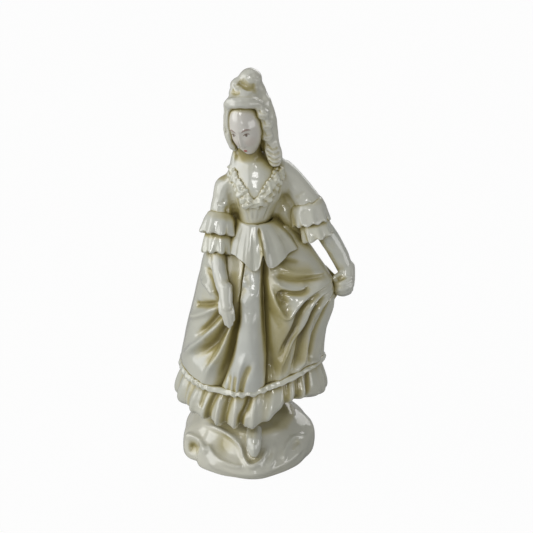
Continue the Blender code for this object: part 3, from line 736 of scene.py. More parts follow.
def makePeplum():
    low, high = (Vector(corner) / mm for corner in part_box(peplum["node"]))
    top = high.z + 0.1
    outer = [(0.0, -0.06), (0.15, 0.0), (0.45, 0.30), (0.75, 0.63), (0.97, 0.97), (1.0, 1.0), (0.95, 1.01)]
    inner = [(0.62, 0.70), (0.3, 0.4), (0.0, 0.3)]
    profile = denseProfile(outer, (0.02, 0.02)) + denseProfile([outer[-1]] + inner, (0.08, 0.08))[1:]
    blank = spunBlank([(1 + flare, t) for flare, t in profile], 360)
    bmesh.ops.reverse_faces(blank, faces=blank.faces)  # it hangs down from its top, which turns it round
    clay = Clay(blank)
    x, y, t = clay.places.T
    flare, angle = np.hypot(x, y) - 1, np.arctan2(y, x)
    ahead = turnBetween(angle, -np.pi / 2)
    front = bump(ahead, 0.85)
    tips = bump(ahead + 0.13, 0.20) + 0.9 * bump(ahead - 0.40, 0.22)
    slit = bump(ahead - 0.13, 0.085) * ease(0.10, 0.40, flare)
    drop = 6.6 + 2.0 * front + 2.0 * tips - 3.2 * bump(ahead - 0.13, 0.07)
    across = peplum["waist"] + (peplum["flare"][0] + peplum["flare"][1] * np.maximum(0,
        np.cos(angle))) * flare
    deep = 5.3 + (6.2 * front + 4.4 * (1 - front)) * flare
    ripple = 1.0 + 0.035 * flare * np.cos(peplum["pleats"] * angle + 0.6)
    pleat = 0.0
    for middle, width, raise_ in ((-0.62, 0.07, 0.5), (-0.40, 0.05, -0.35), (-0.22, 0.07, 0.45),
                                  (0.0, 0.05, -0.3),
                                  (0.30, 0.07, 0.5), (0.52, 0.06, -0.35), (0.72, 0.08, 0.5), (0.95, 0.07,
                                      -0.4)):
        pleat = pleat + 0.75 * raise_ * bump(ahead - middle, width)
    out = pleat * ease(0.1, 0.7, flare) - 1.5 * slit
    x = 2.0 + 0.9 * flare + (across * ripple + out) * np.cos(angle)
    y = -0.9 + (deep * ripple + out) * np.sin(angle)
    clay.places = np.stack([x, y, top - drop * t], axis=-1)
    clay.stainAndShade = slit + 0.5 * ease(0.12, 0.0, flare) + 0.6 * bump(ahead - 1.15, 0.35) * ease(0.6, 0.1, flare)
    clay.smooth(9, 0.4)
    return clay.finish("peplum", [peplum["node"]], shadedClothGlaze, "glazed_porcelain")


jacket = {
    "nodes": ("bodice", "neck", "right_sleeve", "left_sleeve", "arm_web"),
    "underRightArm": ((-5.2, 1.4, 80.5), (-5.0, 1.2, 76.0), (-4.4, 1.0, 72.0),
                      (-4.0, 0.8, 69.6)), "underRightSize": (1.2, 1.6, 2.0, 2.0),
    "underLeftArm": ((9.0, 1.4, 77.0), (9.8, 1.0, 71.6), (12.6, 0.7, 67.4), (15.2, 0.4, 64.0)),
    "underLeftSize": (2.2, 3.5, 2.9, 1.8),
    "shoulders": (((6.0, 0.6, 86.0), (8.6, 0.2, 83.0)), ((-2.6, 0.6, 86.6), (-4.0, 0.2, 82.6))),
    "shoulderSize": (1.9, 2.6),
    "stainReach": 3.6,
    "creases": (
        (((1.4, -9, 70.5), (1.3, -9, 74.0), (1.2, -9, 76.0)), 0.35, -0.16, 0.2),
        (((3.2, -9, 70.5), (3.3, -9, 74.0), (3.4, -9, 76.0)), 0.35, -0.16, 0.2),
        (((-0.6, -9, 69.8), (-1.4, -9, 73.0), (-2.6, -8, 77.0)), 0.4, -0.18, 0.25),
        (((6.0, -8, 69.8), (7.0, -8, 73.5), (8.0, -8, 77.5)), 0.4, -0.18, 0.4),
        (((-5.0, -5, 76.5), (-6.8, -6, 75.2), (-8.8, -5, 75.6)), 0.55, -0.2, 0.2),
        (((-5.0, -5, 73.4), (-7.0, -6, 72.4), (-9.0, -5, 73.0)), 0.55, 0.22, 0),
        (((10.6, -5, 76.0), (13.0, -6, 77.4), (15.6, -4, 79.4)), 0.6, -0.22, 0.3),
        (((12.0, -5, 73.6), (14.2, -6, 75.0), (17.0, -4, 77.0)), 0.6, 0.2, 0),
        (((-3.6, -4, 83.0), (-3.9, -5, 79.0), (-4.2, -5, 75.0), (-4.4, -5, 71.5)), 0.7, -0.25, 0.5),
        (((8.8, -4, 83.5), (9.2, -5, 80.0), (9.6, -5, 77.0)), 0.7, -0.25, 0.5),
    ),
}


def makeJacket():
    bm = sectionOf(*jacket["nodes"])
    for line, size in (("underRightArm", "underRightSize"), ("underLeftArm", "underLeftSize")):
        addChain(bm, jacket[line], jacket[size], 8)
    for shoulder in jacket["shoulders"]:
        addChain(bm, shoulder, jacket["shoulderSize"], 5)
    clay = joined(bm, 0.24, 0.8, 14)
    x, _, z = clay.places.T
    hers = ease(-3.2, -6.5, x) * ease(79.0, 85.0, z)  # her right shoulder slopes more
    clay.places[:, 2] -= 2.4 * hers
    clay.places[:, 0] += 0.9 * hers
    clay.strokes(jacket["creases"])
    for line in (jacket["underRightArm"], jacket["underLeftArm"]):
        near = nearLine(clay.places, curveThrough(line), 12)[0]
        clay.stainAndShade = np.maximum(clay.stainAndShade, 0.85 * ease(jacket["stainReach"] + 0.6, 1.8, near))
    shade = ease(85.0, 88.2, clay.places[:, 2]) * (1.25 + 0.25 * wobble(clay.places, 4.0, 9))
    shade *= ease(5.2, 3.4, np.abs(clay.places[:, 0] - 0.8))
    clay.stainAndShade = np.maximum(clay.stainAndShade, shade)  # painted shade on the throat, under the chin
    # painted shade over the front of the chest
    chestShade = ease(7.0, 4.0, np.abs(clay.places[:, 0] - 2.5)) * ease(-2.0, -4.0, clay.places[:, 1])
    clay.stainAndShade = np.maximum(clay.stainAndShade, 0.28 * chestShade)
    clay.roughen(5.0, 0.07, 8)
    return clay.finish("jacket", jacket["nodes"], porcelain, "glazed_porcelain")


laceCollar = {  # rows along the neckline, mm; (size of a lump, how far its middle lies outwards)
    "left": ((-3.5, -2.1, 84.1), (-2.8, -3.8, 82.6), (-1.8, -5.2, 81.6), (-0.6, -6.6, 80.2),
             (0.5, -7.4, 78.3), (1.2, -7.8, 76.6)),
    "right": ((8.2, -0.6, 85.0), (7.6, -2.2, 84.6), (6.7, -4.2, 83.4), (5.6, -5.6, 81.9), (4.2, -6.6, 80.0),
              (2.6, -7.5, 77.9), (1.5, -7.8, 76.4)),
    "lump": 0.78,
}


def makeCollar():
    bodiceTree = BVHTree.FromBMesh(sectionOf("bodice"))
    shawl = sectionOf("lace_collar")
    bmesh.ops.smooth_vert(shawl, verts=shawl.verts, factor=0.5)
    rng = np.random.default_rng(12)
    for side in ("left", "right"):
        for row, size in ((-0.1, 0.80), (1.3, 1.25), (2.6, 1.2)):
            line = curveThrough(laceCollar[side], 8)
            lengths = np.cumsum(np.r_[0, np.linalg.norm(np.diff(line, axis=0), axis=1)])
            for spot in np.arange(0.3, lengths[-1], 1.15 if row < 1 else 1.7):
                point = Vector([np.interp(spot, lengths, line[:, i]) for i in range(3)])
                away = 1 if side == "right" else -1
                point += Vector((away * row * 0.8, 0, -row * 0.55))
                near, normal = bodiceTree.find_nearest(point)[:2]
                radius = laceCollar["lump"] * size * rng.uniform(0.75, 1.25)
                place = Matrix.Translation(near + normal * radius * 0.30)
                bmesh.ops.create_icosphere(shawl, subdivisions=2, radius=radius, matrix=place)
    clay = remeshed(shawl, 0.14, 0.0, 6)
    clay.roughen(1.3, 0.09, 4)
    clay.stainAndShade = 0.25 + 0 * clay.stainAndShade
    return clay.finish("lace_collar", ["lace_collar"], laceGlaze, "lace_glaze")


cuffs = {  # top and lower middle from each box's centre, radii, flutes
    "right_cuff": {"radii": (3.0, 4.7), "ruffles": 9, "lean": (-0.6, -1.8)},
    "right_cuff_frill": {"radii": (2.9, 4.1), "ruffles": 10, "lean": (-0.4, -2.4)},
    "left_cuff": {"radii": (3.6, 4.6), "ruffles": 10, "lean": (1.1, -1.3)},
    "left_cuff_frill": {"radii": (3.0, 4.0), "ruffles": 9, "lean": (1.8, -1.1)},
}


def makeCuff(node, material, finishSlot):
    settings = cuffs[node]
    clay = castCopy(node, 0.18, 0.6, 50)
    low, high = (np.array(corner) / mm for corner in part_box(node))
    middle = (low + high) / 2
    tall = high[2] - low[2]
    lean = np.array(settings["lean"]) / 5.0
    t = (clay.places[:, 2] - low[2]) / tall
    centre = middle[:2] + (0.5 - t)[:, None] * lean * tall
    off = clay.places[:, :2] - centre
    angle = np.arctan2(off[:, 1], off[:, 0])
    flutes = np.cos(settings["ruffles"] * angle + 0.8 * np.sin(2 * angle))
    lower = ease(0.75, 0.15, t)
    radial = off / np.maximum(np.linalg.norm(off, axis=1), 0.01)[:, None]
    clay.places[:, :2] += radial * (0.24 * flutes * lower)[:, None]
    clay.places[:, 2] -= 0.30 * flutes * lower
    clay.stainAndShade = 0.45 * ease(0.2, 0.9, -flutes) * lower + 0.5 * ease(0.72, 0.95, t)
    clay.smooth(5, 0.4)
    return clay.finish(node, [node], material, finishSlot)


arms = {  # fingers as lines of shares of the hand's box, with the size of each end in mm
    "right": (
        ((0.42, 0.92, 1.12), (0.46, 0.62, 0.80), (0.50, 0.40, 0.58), 1.95, 1.60),
        ((0.24, 0.42, 0.62), (0.34, 0.18, 0.32), (0.46, 0.12, 0.04), 0.66, 0.46),
        ((0.42, 0.30, 0.60), (0.52, 0.10, 0.28), (0.64, 0.08, -0.04), 0.66, 0.46),
        ((0.60, 0.30, 0.60), (0.70, 0.14, 0.32), (0.78, 0.12, 0.04), 0.64, 0.44),
        ((0.76, 0.42, 0.62), (0.84, 0.28, 0.40), (0.90, 0.22, 0.16), 0.60, 0.40),
        ((0.20, 0.70, 0.84), (0.10, 0.44, 0.62), (0.14, 0.28, 0.40), 0.62, 0.42),
    ),
    "left": (
        ((0.62, 0.80, 1.05), (0.62, 0.60, 0.72), (0.58, 0.45, 0.42), 2.2, 2.3),
        ((0.72, 0.22, 0.70), (0.40, 0.05, 0.62), (0.12, 0.18, 0.52), 1.05, 0.85),
        ((0.74, 0.18, 0.50), (0.40, 0.00, 0.42), (0.10, 0.14, 0.34), 1.05, 0.85),
        ((0.74, 0.22, 0.30), (0.42, 0.06, 0.24), (0.14, 0.20, 0.18), 1.0, 0.80),
        ((0.70, 0.34, 0.12), (0.45, 0.20, 0.08), (0.22, 0.30, 0.06), 0.95, 0.75),
        ((0.50, 0.55, 0.90), (0.16, 0.42, 0.80), (-0.02, 0.36, 0.70), 0.95, 0.75),
    ),
}


def makeArm(side):
    hand = side + "_hand"
    bm = sectionOf(side + "_forearm")
    for start, bend, end, thick, thin in arms[side]:
        addChain(bm, [onBox(hand, *p) for p in (start, bend, end)], (thick, thin), 5)
    clay = joined(bm, 0.16, 0.30, 10)
    clay.roughen(4.0, 0.05, 6)
    clay.stainAndShade = 0.35 * ease(0.9, 1.6, np.abs(wobble(clay.places, 5.0, 15)) + 0.6)
    return clay.finish(side + "_forearm", [side + "_forearm", hand], porcelain, "glazed_porcelain")


# the skirt's cloth drawn up into her left hand: ridges from the hand out to the skirt, and their sizes
held = {
    "hand": (24.6, -1.8, 51.6),
    "ends": ((20.3, -0.2, 55.0), (20.3, -1.6, 54.0), (20.0, -3.4, 52.4), (20.4, -4.2, 49.6),
             (21.4, -4.4, 46.8)),
    "sag": -0.4, "sizes": (1.15, 0.85, 0.8), "stainAndShade": 0.6,
}


def makeHeldCloth():
    bm = bmesh.new()
    for end in held["ends"]:
        middle = (np.array(end) + np.array(held["hand"])) / 2 + np.array((0, 0, held["sag"]))
        addChain(bm, (held["hand"], middle, end), held["sizes"], 7)
    clay = joined(bm, 0.16, 0.35, 8)
    clay.stainAndShade = held["stainAndShade"] + 0.25 * wobble(clay.places, 3.0, 21)
    return clay.finish("held_cloth", [], porcelain, "glazed_porcelain")


# neck, head and hair

head = {
    "node": "head",
    "tilt": (14, -9, -22),  # degrees: looks down and to her right
    "radii": (4.3, 5.35, 7.55),
    "shift": (0.85, 0.0, -0.35),  # from the middle of its section, mm
    "eyes": (0.40, 0.02), "nose": -0.42, "mouth": -0.62,
}


def headPlace():
    low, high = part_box(head["node"])
    middle = (low + high) / 2 / mm + Vector(head["shift"])
    turn = Euler([np.radians(d) for d in head["tilt"]]).to_matrix()
    return middle, turn


def makeHead():
    bm = bmesh.new()
    bmesh.ops.create_uvsphere(bm, u_segments=260, v_segments=190, radius=1.0)
    clay = Clay(bm)
    x, y, z = clay.places.T.copy()
    facing = ease(0.1, 0.6, -y)
    jaw = np.maximum(0, -z)
    wide = 1 - 0.30 * jaw ** 1.6
    deep = 1 - 0.22 * jaw ** 1.5
    eyeX, eyeZ = head["eyes"]
    ax = np.abs(x)
    out = 0 * x
    out -= 0.055 * bump(ax - eyeX, 0.22) * bump(z - eyeZ, 0.13)          # sockets
    out += 0.030 * bump(ax - eyeX, 0.13) * bump(z - eyeZ + 0.01, 0.055)  # lids
    out += 0.035 * bump(ax - eyeX, 0.30) * bump(z - 0.20, 0.07)          # brows
    bridge = ease(0.22, -0.36, z) * ease(head["nose"] - 0.08, head["nose"] + 0.02, z)
    out += 0.15 * bridge * bump(ax, 0.085 + 0.05 * bridge) + 0.02 * bump(ax, 0.09) * bump(z - 0.05, 0.2)
    out += 0.035 * bump(ax - 0.10, 0.055) * bump(z - head["nose"], 0.045)
    out += 0.050 * bump(ax, 0.17) * bump(z - head["mouth"] - 0.035, 0.032)
    out += 0.055 * bump(ax, 0.15) * bump(z - head["mouth"] + 0.045, 0.040)
    out -= 0.020 * bump(ax, 0.16) * bump(z - head["mouth"], 0.016)
    out -= 0.025 * bump(ax, 0.16) * bump(z - head["mouth"] + 0.115, 0.035)
    out += 0.045 * bump(ax, 0.24) * bump(z + 0.86, 0.10)
    out += 0.030 * bump(ax - 0.52, 0.22) * bump(z + 0.28, 0.20)
    y = y * deep - 0.14 * jaw - out * facing
    x = x * wide
    local = np.stack([x, y, z], axis=-1) * np.array(head["radii"])
    middle, turn = headPlace()
    clay.places = local @ np.array(turn).T + np.array(middle)
    return clay.finish("head", ["head"], litFaceGlaze, "glazed_porcelain")


def facePaint(g, tone):
    # brows, lashes, irises and lips in thin enamel, set by shares of the head's half sizes
    middle, turn = headPlace()
    values = {
        "Vector": g.place(), "Location": Vector(middle) * mm,
        "Rotation": Euler([np.radians(d) for d in head["tilt"]]),
        "Scale": [r * mm for r in head["radii"]],
    }
    local = g.add("ShaderNodeMapping", {"vector_type": "TEXTURE"}, values)
    parts = {"Vector": local}
    x = g.add("ShaderNodeSeparateXYZ", {}, parts, "X")
    y = g.add("ShaderNodeSeparateXYZ", {}, parts, "Y")
    z = g.add("ShaderNodeSeparateXYZ", {}, parts, "Z")
    ax = x.maths("ABSOLUTE", x)
    facing = (y * -1.0).clamped(0.2, 0.5)
    ragged = (g.noise(1700.0, 2.0) - 0.5) * 0.035

    def oval(middleX, middleZ, halfX, halfZ, soft=0.35):
        # 1 inside an oval, 0 outside
        dx, dz = (ax - middleX + ragged) * (1 / halfX), (z - middleZ + ragged) * (1 / halfZ)
        return (dx * dx + dz * dz).clamped(1 + soft, 1 - soft) * facing

    def arc(middleX, top, halfX, halfZ, sag, soft=0.4):
        dx = (ax - middleX) * (1 / halfX)
        dz = (z - top + dx * dx * sag + ragged) * (1 / halfZ)
        return (dx * dx + dz * dz).clamped(1 + soft, 1 - soft) * facing

    eyeX, eyeZ = head["eyes"]
    tone = g.mixed(arc(eyeX + 0.02, eyeZ + 0.20, 0.24, 0.035, 0.06) * 0.62, tone, (0.20, 0.085, 0.055, 1))
    tone = g.mixed(arc(eyeX, eyeZ + 0.045, 0.19, 0.024, 0.05) * 0.80, tone, (0.14, 0.075, 0.04, 1))
    tone = g.mixed(oval(eyeX, eyeZ - 0.005, 0.065, 0.045) * 0.85, tone, (0.09, 0.05, 0.03, 1))
    tone = g.mixed(oval(0.0, head["mouth"] + 0.020, 0.15, 0.035) * 0.85, tone, (0.42, 0.06, 0.045, 1))
    tone = g.mixed(oval(0.0, head["mouth"] - 0.040, 0.11, 0.038) * 0.80, tone, (0.46, 0.08, 0.06, 1))
    tone = g.mixed(oval(0.50, -0.28, 0.26, 0.18, 0.9) * 0.14, tone, (0.62, 0.36, 0.28, 1))
    return tone


hair = {
    "nodes": ("back_hair", "rising_hair", "top_puff", "side_puff", "side_curl_1", "side_curl_2",
              "side_curl_3",
              "side_lock", "shoulder_ringlet"),
    "roll": "front_roll", "rollThinner": 0.70, "rollBack": 0.66,
    "hairline": ((-4.1, -5.6, 102.6), (-2.6, -6.8, 103.3), (-0.2, -6.9, 103.4), (2.2, -5.7, 102.8),
                 (3.6, -4.4, 101.2)),
    "hairlineSize": (1.2, 1.4, 1.4, 1.2, 1.1),
    "crest": ((2.2, -1.2, 107.2), (2.9, -0.8, 105.0), (3.6, -0.8, 102.5)),
    "crestSize": (1.3, 1.6, 1.8),
    "sideBand": ((-4.3, -4.6, 103.0), (-4.9, -4.9, 99.0), (-4.8, -5.2, 95.0), (-3.7, -5.2, 91.2)),
    "bandSize": (0.9, 1.05, 1.0, 0.7),
    "behindCurls": ((4.2, -2.4, 102.0), (5.5, -2.4, 97.5), (6.2, -2.2, 93.0), (6.6, -2.6, 88.5)),
    "behindSize": (2.0, 1.9, 1.7, 1.9),
    "crown": ((-2.2, -4.6, 108.8), (-0.8, -4.8, 107.4), (0.8, -4.8, 106.8), (3.0, -4.0, 106.8)),
    "underPuff": ((-4.6, -4.0, 106.0), (-3.2, -5.2, 105.4), (-1.4, -5.6, 105.6)),
}


def makeHair():
    bm = sectionOf(*hair["nodes"])
    roll = sectionOf(hair["roll"])
    top, back = max(v.co.z for v in roll.verts), max(v.co.y for v in roll.verts)
    for v in roll.verts:  # the roll over the forehead is a low swelling
        v.co.z = top - (top - v.co.z) * hair["rollThinner"]
        v.co.y = back - (back - v.co.y) * hair["rollBack"]
    rollMesh = bpy.data.meshes.new("roll")
    roll.to_mesh(rollMesh)
    roll.free()
    bm.from_mesh(rollMesh)
    bpy.data.meshes.remove(rollMesh)
    addChain(bm, hair["sideBand"], hair["bandSize"], 8)
    addChain(bm, hair["behindCurls"], hair["behindSize"], 7)
    addChain(bm, hair["hairline"], hair["hairlineSize"], 6)
    addChain(bm, hair["crest"], hair["crestSize"], 6)
    clay = joined(bm, 0.22, 0.85, 22)
    rows = []
    for x in (0.15, 0.35, 0.55, 0.75):  # long waves down the back
        line = ((x, 1.2, 0.98), (x - 0.05, 1.1, 0.72), (x + 0.08, 1.1, 0.45), (x + 0.02, 1.1, 0.12))
        rows.append(([onBox("back_hair", *p) for p in line], 0.5, -0.34, 0.3))
    for y in (0.15, 0.4, 0.65, 0.85):
        line = ((1.1, y, 0.95), (1.1, y + 0.1, 0.7), (1.15, y, 0.42), (1.1, y + 0.1, 0.12))
        rows.append(([onBox("back_hair", *p) for p in line], 0.5, -0.30, 0.3))
    for y in (0.45, 0.7):
        line = ((-0.1, y, 0.95), (-0.1, y + 0.1, 0.7), (-0.1, y, 0.42))
        rows.append(([onBox("back_hair", *p) for p in line], 0.5, -0.32, 0.3))
    for z in (0.30, 0.55, 0.80):
        line = ((-0.1, 0.3, z), (0.3, -0.1, z + 0.08), (0.7, -0.1, z + 0.06), (1.1, 0.3, z))
        rows.append(([onBox("rising_hair", *p) for p in line], 0.4, -0.12, 0.4))
    for z in (0.72, 0.88):
        line = ((0.0, 0.6, z - 0.1), (0.25, -0.1, z), (0.6, -0.1, z + 0.02), (0.95, 0.3, z - 0.05))
        rows.append(([onBox("front_roll", *p) for p in line], 0.35, -0.10, 0.3))
    for line in (((0.1, 0.0, 0.75), (0.35, -0.1, 0.35), (0.8, 0.0, 0.22)),
                 ((0.35, 0.0, 0.9), (0.55, -0.1, 0.55), (0.9, 0.0, 0.42)),
                 ((0.5, 0.0, 1.0), (0.75, 0.0, 0.7), (0.95, 0.2, 0.6))):
        rows.append(([onBox("top_puff", *p) for p in line], 0.45, -0.13, 0.25))
    rows.append(([onBox("side_puff", *p) for p in ((0.1, 0.0, 0.8), (0.4, -0.1, 0.4), (0.9, 0.0, 0.2))], 0.4,
                 -0.12, 0.3))
    for node in ("side_curl_1", "side_curl_2", "side_curl_3"):
        for line in (((0.1, -0.1, 0.95), (0.5, -0.2, 0.72), (1.1, -0.1, 0.85)),
                     ((0.2, -0.1, 0.35), (0.5, -0.2, 0.28), (0.8, -0.1, 0.35))):
            rows.append(([onBox(node, *p) for p in line], 0.35, -0.22, 0.3))
    for z in (0.9, 0.66, 0.44, 0.22):
        rows.append(([onBox("shoulder_ringlet", *p) for p in ((0.0, 0.2, z), (0.5, -0.2, z - 0.12),
            (1.0, 0.2, z - 0.05))], 0.4, -0.34, 0.4))
    for shift in (0.0, 0.9):
        line = [(x - shift * 0.6, y - shift, z) for x, y, z in hair["sideBand"]]
        rows.append((line, 0.35, -0.16, 0.3))
    rows.append((hair["crown"], 0.75, -0.4, 0.95))
    rows.append((hair["underPuff"], 0.8, -0.25, 0.8))
    clay.strokes(rows, 0.15)
    for spot in ((4.3, -6.6, 100.4), (5.2, -5.6, 97.2), (5.6, -5.0, 94.2)):
        clay.lump(spot, 1.0, 0.25)
    # hollows with ochre in the creases of the crown, and painted shade under the front roll at the hairline
    for spot, width in (((-1.6, -4.0, 107.6), 1.5), ((2.0, -4.6, 105.9), 1.3), ((-2.4, -7.2, 101.2), 1.6)):
        clay.lump(spot, width, -0.1, stainAndShade=0.7)
    clay.roughen(2.6, 0.05, 31)
    return clay.finish("hair", list(hair["nodes"]) + [hair["roll"]], hairGlaze, "hair_glaze")


# base

base = {
    "lip": ((-11.9, -14.0, 3.7), (-8.3, -16.3, 2.8), (-4.4, -17.6, 2.1), (-0.4, -18.5, 2.0),
            (3.7, -18.1, 2.4),
            (8.0, -15.8, 2.8), (11.9, -12.6, 3.7), (15.0, -8.5, 4.7)),
}


def makePlinth():
    low, high = (np.array(corner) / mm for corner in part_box("plinth"))
    middle = (low[0] + high[0]) / 2
    rim = 18.3
    points = [(0, 0), (rim - 1.2, 0), (rim - 0.5, 0.25), (rim - 0.1, 1.1), (rim, 3.0), (rim - 0.5, 5.6),
              (rim - 2.4, 7.4),
              (rim - 4.6, 9.4), (rim - 6.8, 11.6), (7.6, 12.2), (0, 12.3)]
    smoothRows = curveThrough(points[1:], 6)
    profile = denseProfile([points[0]] + [tuple(row) for row in smoothRows], (0.6, 0.3))
    profile[-1] = (0.0, profile[-1][1])
    clay = Clay(spunBlank(profile, 420))
    x, y, z = clay.places.T
    radius, angle = np.hypot(x, y), np.arctan2(y, x)
    rise = np.clip((radius - 13.0) / 3.0, 0, 1)
    front = np.maximum(0, -y / np.maximum(radius, 0.01)) ** 2
    z = z * (1 + rise * (0.14 - 0.42 * front))
    edge = 0.02 * np.cos(5 * angle + 0.6) + 0.01 * np.cos(9 * angle) - 0.07 * bump(turnBetween(angle, -2.55),
        0.10)
    share = 1 + edge * rise
    clay.places = np.stack([x * share + middle, y * share, z], axis=-1)
    clay.smooth(4)
    clay.stroke(base["lip"], 0.9, 0.45, ends=0.1)
    clay.stroke([(-11.0, -13.0, 7.0), (-8.3, -15.0, 5.2), (-4.4, -16.6, 4.2), (0.2, -16.9, 3.6)], 0.8, -0.25,
                stainAndShade=0.1)
    clay.stroke([(-17.8, -6, 5.7), (-16, -7.1, 7.1), (-13.5, -9.2, 6.9), (-12.2, -11.9, 6.1),
                 (-11.2, -13.8, 5.2)], 0.9, 0.9)
    clay.lump((-15.9, -8.9, 4.4), 1.9, -1.6, stainAndShade=0.9)
    clay.stroke([(-10.9, -11.4, 7.2), (-10.6, -12.4, 6.5), (-9, -14.5, 5.3), (-6.3, -16.4, 4.3),
                 (-2.9, -17.5, 3.9), (-0.9, -16.9, 4.6)], 0.8, 0.7)
    clay.lump((-6.7, -12.7, 8.0), 3.0, -0.7, stainAndShade=0.70)
    clay.stroke([(-13.9, -4.5, 9.5), (-9.1, -9.1, 10.8), (-4.8, -12.1, 10.1), (-2.3, -14, 8.1),
                 (-1.4, -15.6, 5.9), (-0.2, -17.6, 4.4),
                 (1.6, -17.9, 4.2), (3.4, -16.7, 4.9), (4.6, -14.9, 6.2), (5.4, -12.9,
                     8.0)], 0.75, 0.9, ends=0.12)
    clay.stroke([(-11.0, -6.0, 11.0), (-6.5, -9.5, 11.2), (-2.0, -12.0, 9.9), (-0.5, -14.0, 8.0),
                 (0.0, -15.6, 6.2), (1.6, -16.4, 5.2),
                 (3.0, -15.4, 6.2), (3.6, -13.4, 8.0), (4.6, -10.8, 10.2)], 1.0, -0.35, stainAndShade=0.3)
    clay.stroke([(9.0, -15.2, 4.2), (9.5, -14.2, 4.7), (10.1, -12.1, 6.3), (11.6, -9.4, 7.5),
                 (14.1, -7.2, 7.1), (16.0, -5.6, 6.0)], 0.75, 0.6)
    clay.stroke([(12.0, -12.0, 5.0), (12.6, -10.4, 6.2), (14.2, -8.4, 6.4)], 0.9, -0.6, stainAndShade=0.15)
    clay.lump((9.8, -6.8, 10.8), 2.4, -0.5, stainAndShade=0.8)
    clay.stroke([(4.6, -17.8, 2.7), (6.4, -16.2, 4.5), (7, -13.9, 6), (6.8, -11.5, 8.2)], 0.7, 0.35)
    # painted shadow of the skirt's hem on the top of the base
    radius = np.hypot(clay.places[:, 0], clay.places[:, 1])
    clay.stainAndShade = np.maximum(clay.stainAndShade, 0.8 * ease(14.5, 11.5, radius) * ease(6.0, 9.0, clay.places[:, 2]))
    clay.roughen(6.0, 0.10, 2)
    clay.places[:, 2] = np.maximum(clay.places[:, 2], 0)
    return clay.finish("plinth", ["plinth"], baseGlaze, "glazed_porcelain")


def makeShoe():
    clay = castCopy("shoe", 0.16, 0.2, 8)
    clay.stroke([onBox("shoe", 0.5, -0.1, 0.75), onBox("shoe", 0.5, -0.1, 0.45),
                 onBox("shoe", 0.5, 0.0, 0.15)], 0.5, 0.2)
    return clay.finish("shoe", ["shoe"], porcelain, "glazed_porcelain")


print("mixing the glazes")
porcelain = glazed("glazed_porcelain")
laceGlaze = glazed("lace_glaze", (0.70, 0.70, 0.60, 1), 1.1)
hairGlaze = glazed("hair_glaze", (0.71, 0.70, 0.61, 1), 1.1)
# the skirts' and panel's glazes have a blurrier coat, and their body colours are made darker than the
# porcelain as painted shade
shadedClothGlaze = glazed("cloth_glaze", (0.62, 0.618, 0.53, 1), 1.2, coatBlur=0.10)
shadedPanelGlaze = glazed("panel_glaze", (0.60, 0.612, 0.56, 1), 1.0, coatBlur=0.10)
baseGlaze = glazed("base_glaze", (0.68, 0.67, 0.575, 1), 1.0, ownOnly=True)
# the face's glaze is made lighter than the rest of the porcelain, as painted light; its features are painted
# enamel
litFaceGlaze = glazed("face_glaze", (0.79, 0.75, 0.675, 1), 0.8, facePaint)

print("shaping the base and shoe")
makePlinth()
makeShoe()
print("shaping the skirts")
makeFlounce()
makeLace()
makeOverskirt()
makePanel()
print("shaping the jacket and arms")
makePeplum()
makeJacket()
makeCollar()
for side in ("right", "left"):
    makeCuff(side + "_cuff", porcelain, "glazed_porcelain")
    makeCuff(side + "_cuff_frill", laceGlaze, "lace_glaze")
    makeArm(side)
makeHeldCloth()
print("shaping the head and hair")
makeHead()
makeHair()


# studio

studio = {
    "camera": (0.0049, -0.3625, 0.2243), "target": (0.0049, 0.0, 0.0553), "lens": 101.4,
    "world": 0.165, "backdrop": 1.0,
    "lights": (  # name, place, watts, size across and up
        ("key_softbox", (-0.13, -0.60, 0.54), 0.78, 0.22, 0.13),
        ("low_softbox", (-0.06, -0.70, 0.15), 0.2, 0.10, 0.05),
        ("left_fill", (-1.10, -0.35, 0.50), 12.0, 1.3, 1.2),
        ("right_fill", (0.80, -0.40, 0.08), 1.7, 0.7, 0.3),
        ("top_softbox", (0.05, 0.15, 0.80), 0.5, 0.5, 0.5),
        ("back_fill", (0.40, 0.90, 0.45), 2.2, 0.7, 0.7),
    ),
}


def aim(body, target):
    way = Vector(target) - body.location
    body.rotation_euler = way.to_track_quat("-Z", "Y").to_euler()


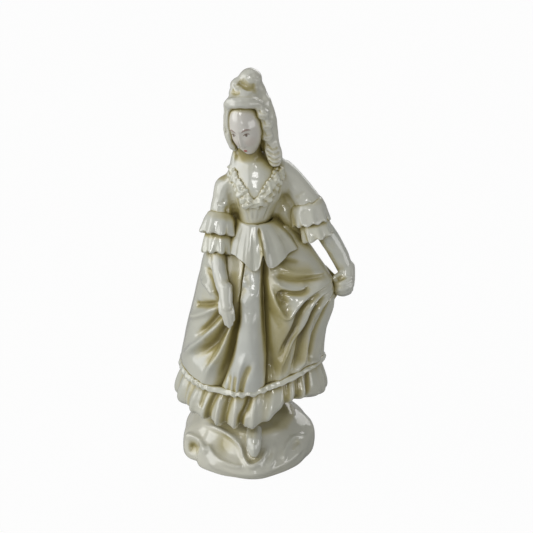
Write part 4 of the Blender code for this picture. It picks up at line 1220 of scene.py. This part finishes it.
def buildStudio():
    scene = bpy.context.scene
    scene.view_settings.view_transform = "Standard"
    scene.view_settings.look = "None"
    lens = bpy.data.cameras.new("camera")
    lens.lens = studio["lens"]
    lens.clip_start, lens.clip_end = 0.01, 20.0
    camera = bpy.data.objects.new("camera", lens)
    camera.location = studio["camera"]
    scene.collection.objects.link(camera)
    aim(camera, studio["target"])
    scene.camera = camera
    for name, place, watts, across, up in studio["lights"]:
        lamp = bpy.data.lights.new(name, "AREA")
        lamp.shape = "RECTANGLE"
        lamp.size, lamp.size_y, lamp.energy = across, up, watts
        body = bpy.data.objects.new(name, lamp)
        body.location = place
        scene.collection.objects.link(body)
        aim(body, (0, 0, 0.06))
    world = bpy.data.worlds.new("world")
    scene.world = world
    world.use_nodes = True
    nodes, links = world.node_tree.nodes, world.node_tree.links
    air = nodes["Background"]
    seen = nodes.new("ShaderNodeBackground")
    seen.inputs["Strength"].default_value = studio["backdrop"]
    seen.inputs["Color"].default_value = (1, 1, 1, 1)
    air.inputs["Color"].default_value = (1.0, 0.99, 0.95, 1)
    air.inputs["Strength"].default_value = studio["world"]
    path = nodes.new("ShaderNodeLightPath")
    blend = nodes.new("ShaderNodeMixShader")
    links.new(path.outputs["Is Camera Ray"], blend.inputs[0])
    links.new(air.outputs[0], blend.inputs[1])
    links.new(seen.outputs[0], blend.inputs[2])
    links.new(blend.outputs[0], nodes["World Output"].inputs["Surface"])

    bm = bmesh.new()
    bmesh.ops.create_grid(bm, x_segments=1, y_segments=1, size=2.0)
    sheet = bpy.data.meshes.new("floor")
    bm.to_mesh(sheet)
    bm.free()
    floor = bpy.data.objects.new("floor", sheet)
    scene.collection.objects.link(floor)
    g = Glaze("pale_floor")
    g.shader.inputs["Base Color"].default_value = (0.5, 0.5, 0.49, 1)
    g.shader.inputs["Roughness"].default_value = 0.7
    g.shader.inputs["Specular IOR Level"].default_value = 0.1
    glow = g.add("ShaderNodeEmission", {}, {"Color": (1, 1, 1, 1), "Strength": 1.0})
    seenShare = g.add("ShaderNodeLightPath", {}, {}, "Is Camera Ray") * 0.97
    shown = g.add("ShaderNodeMixShader", {}, {0: seenShare, 1: Socket(g, g.shader.outputs[0]), 2: glow})
    g.link(g.tree.nodes["Material Output"].inputs["Surface"], shown)
    sheet.materials.append(g.material)


print("setting up the studio")
buildStudio()
print("done")
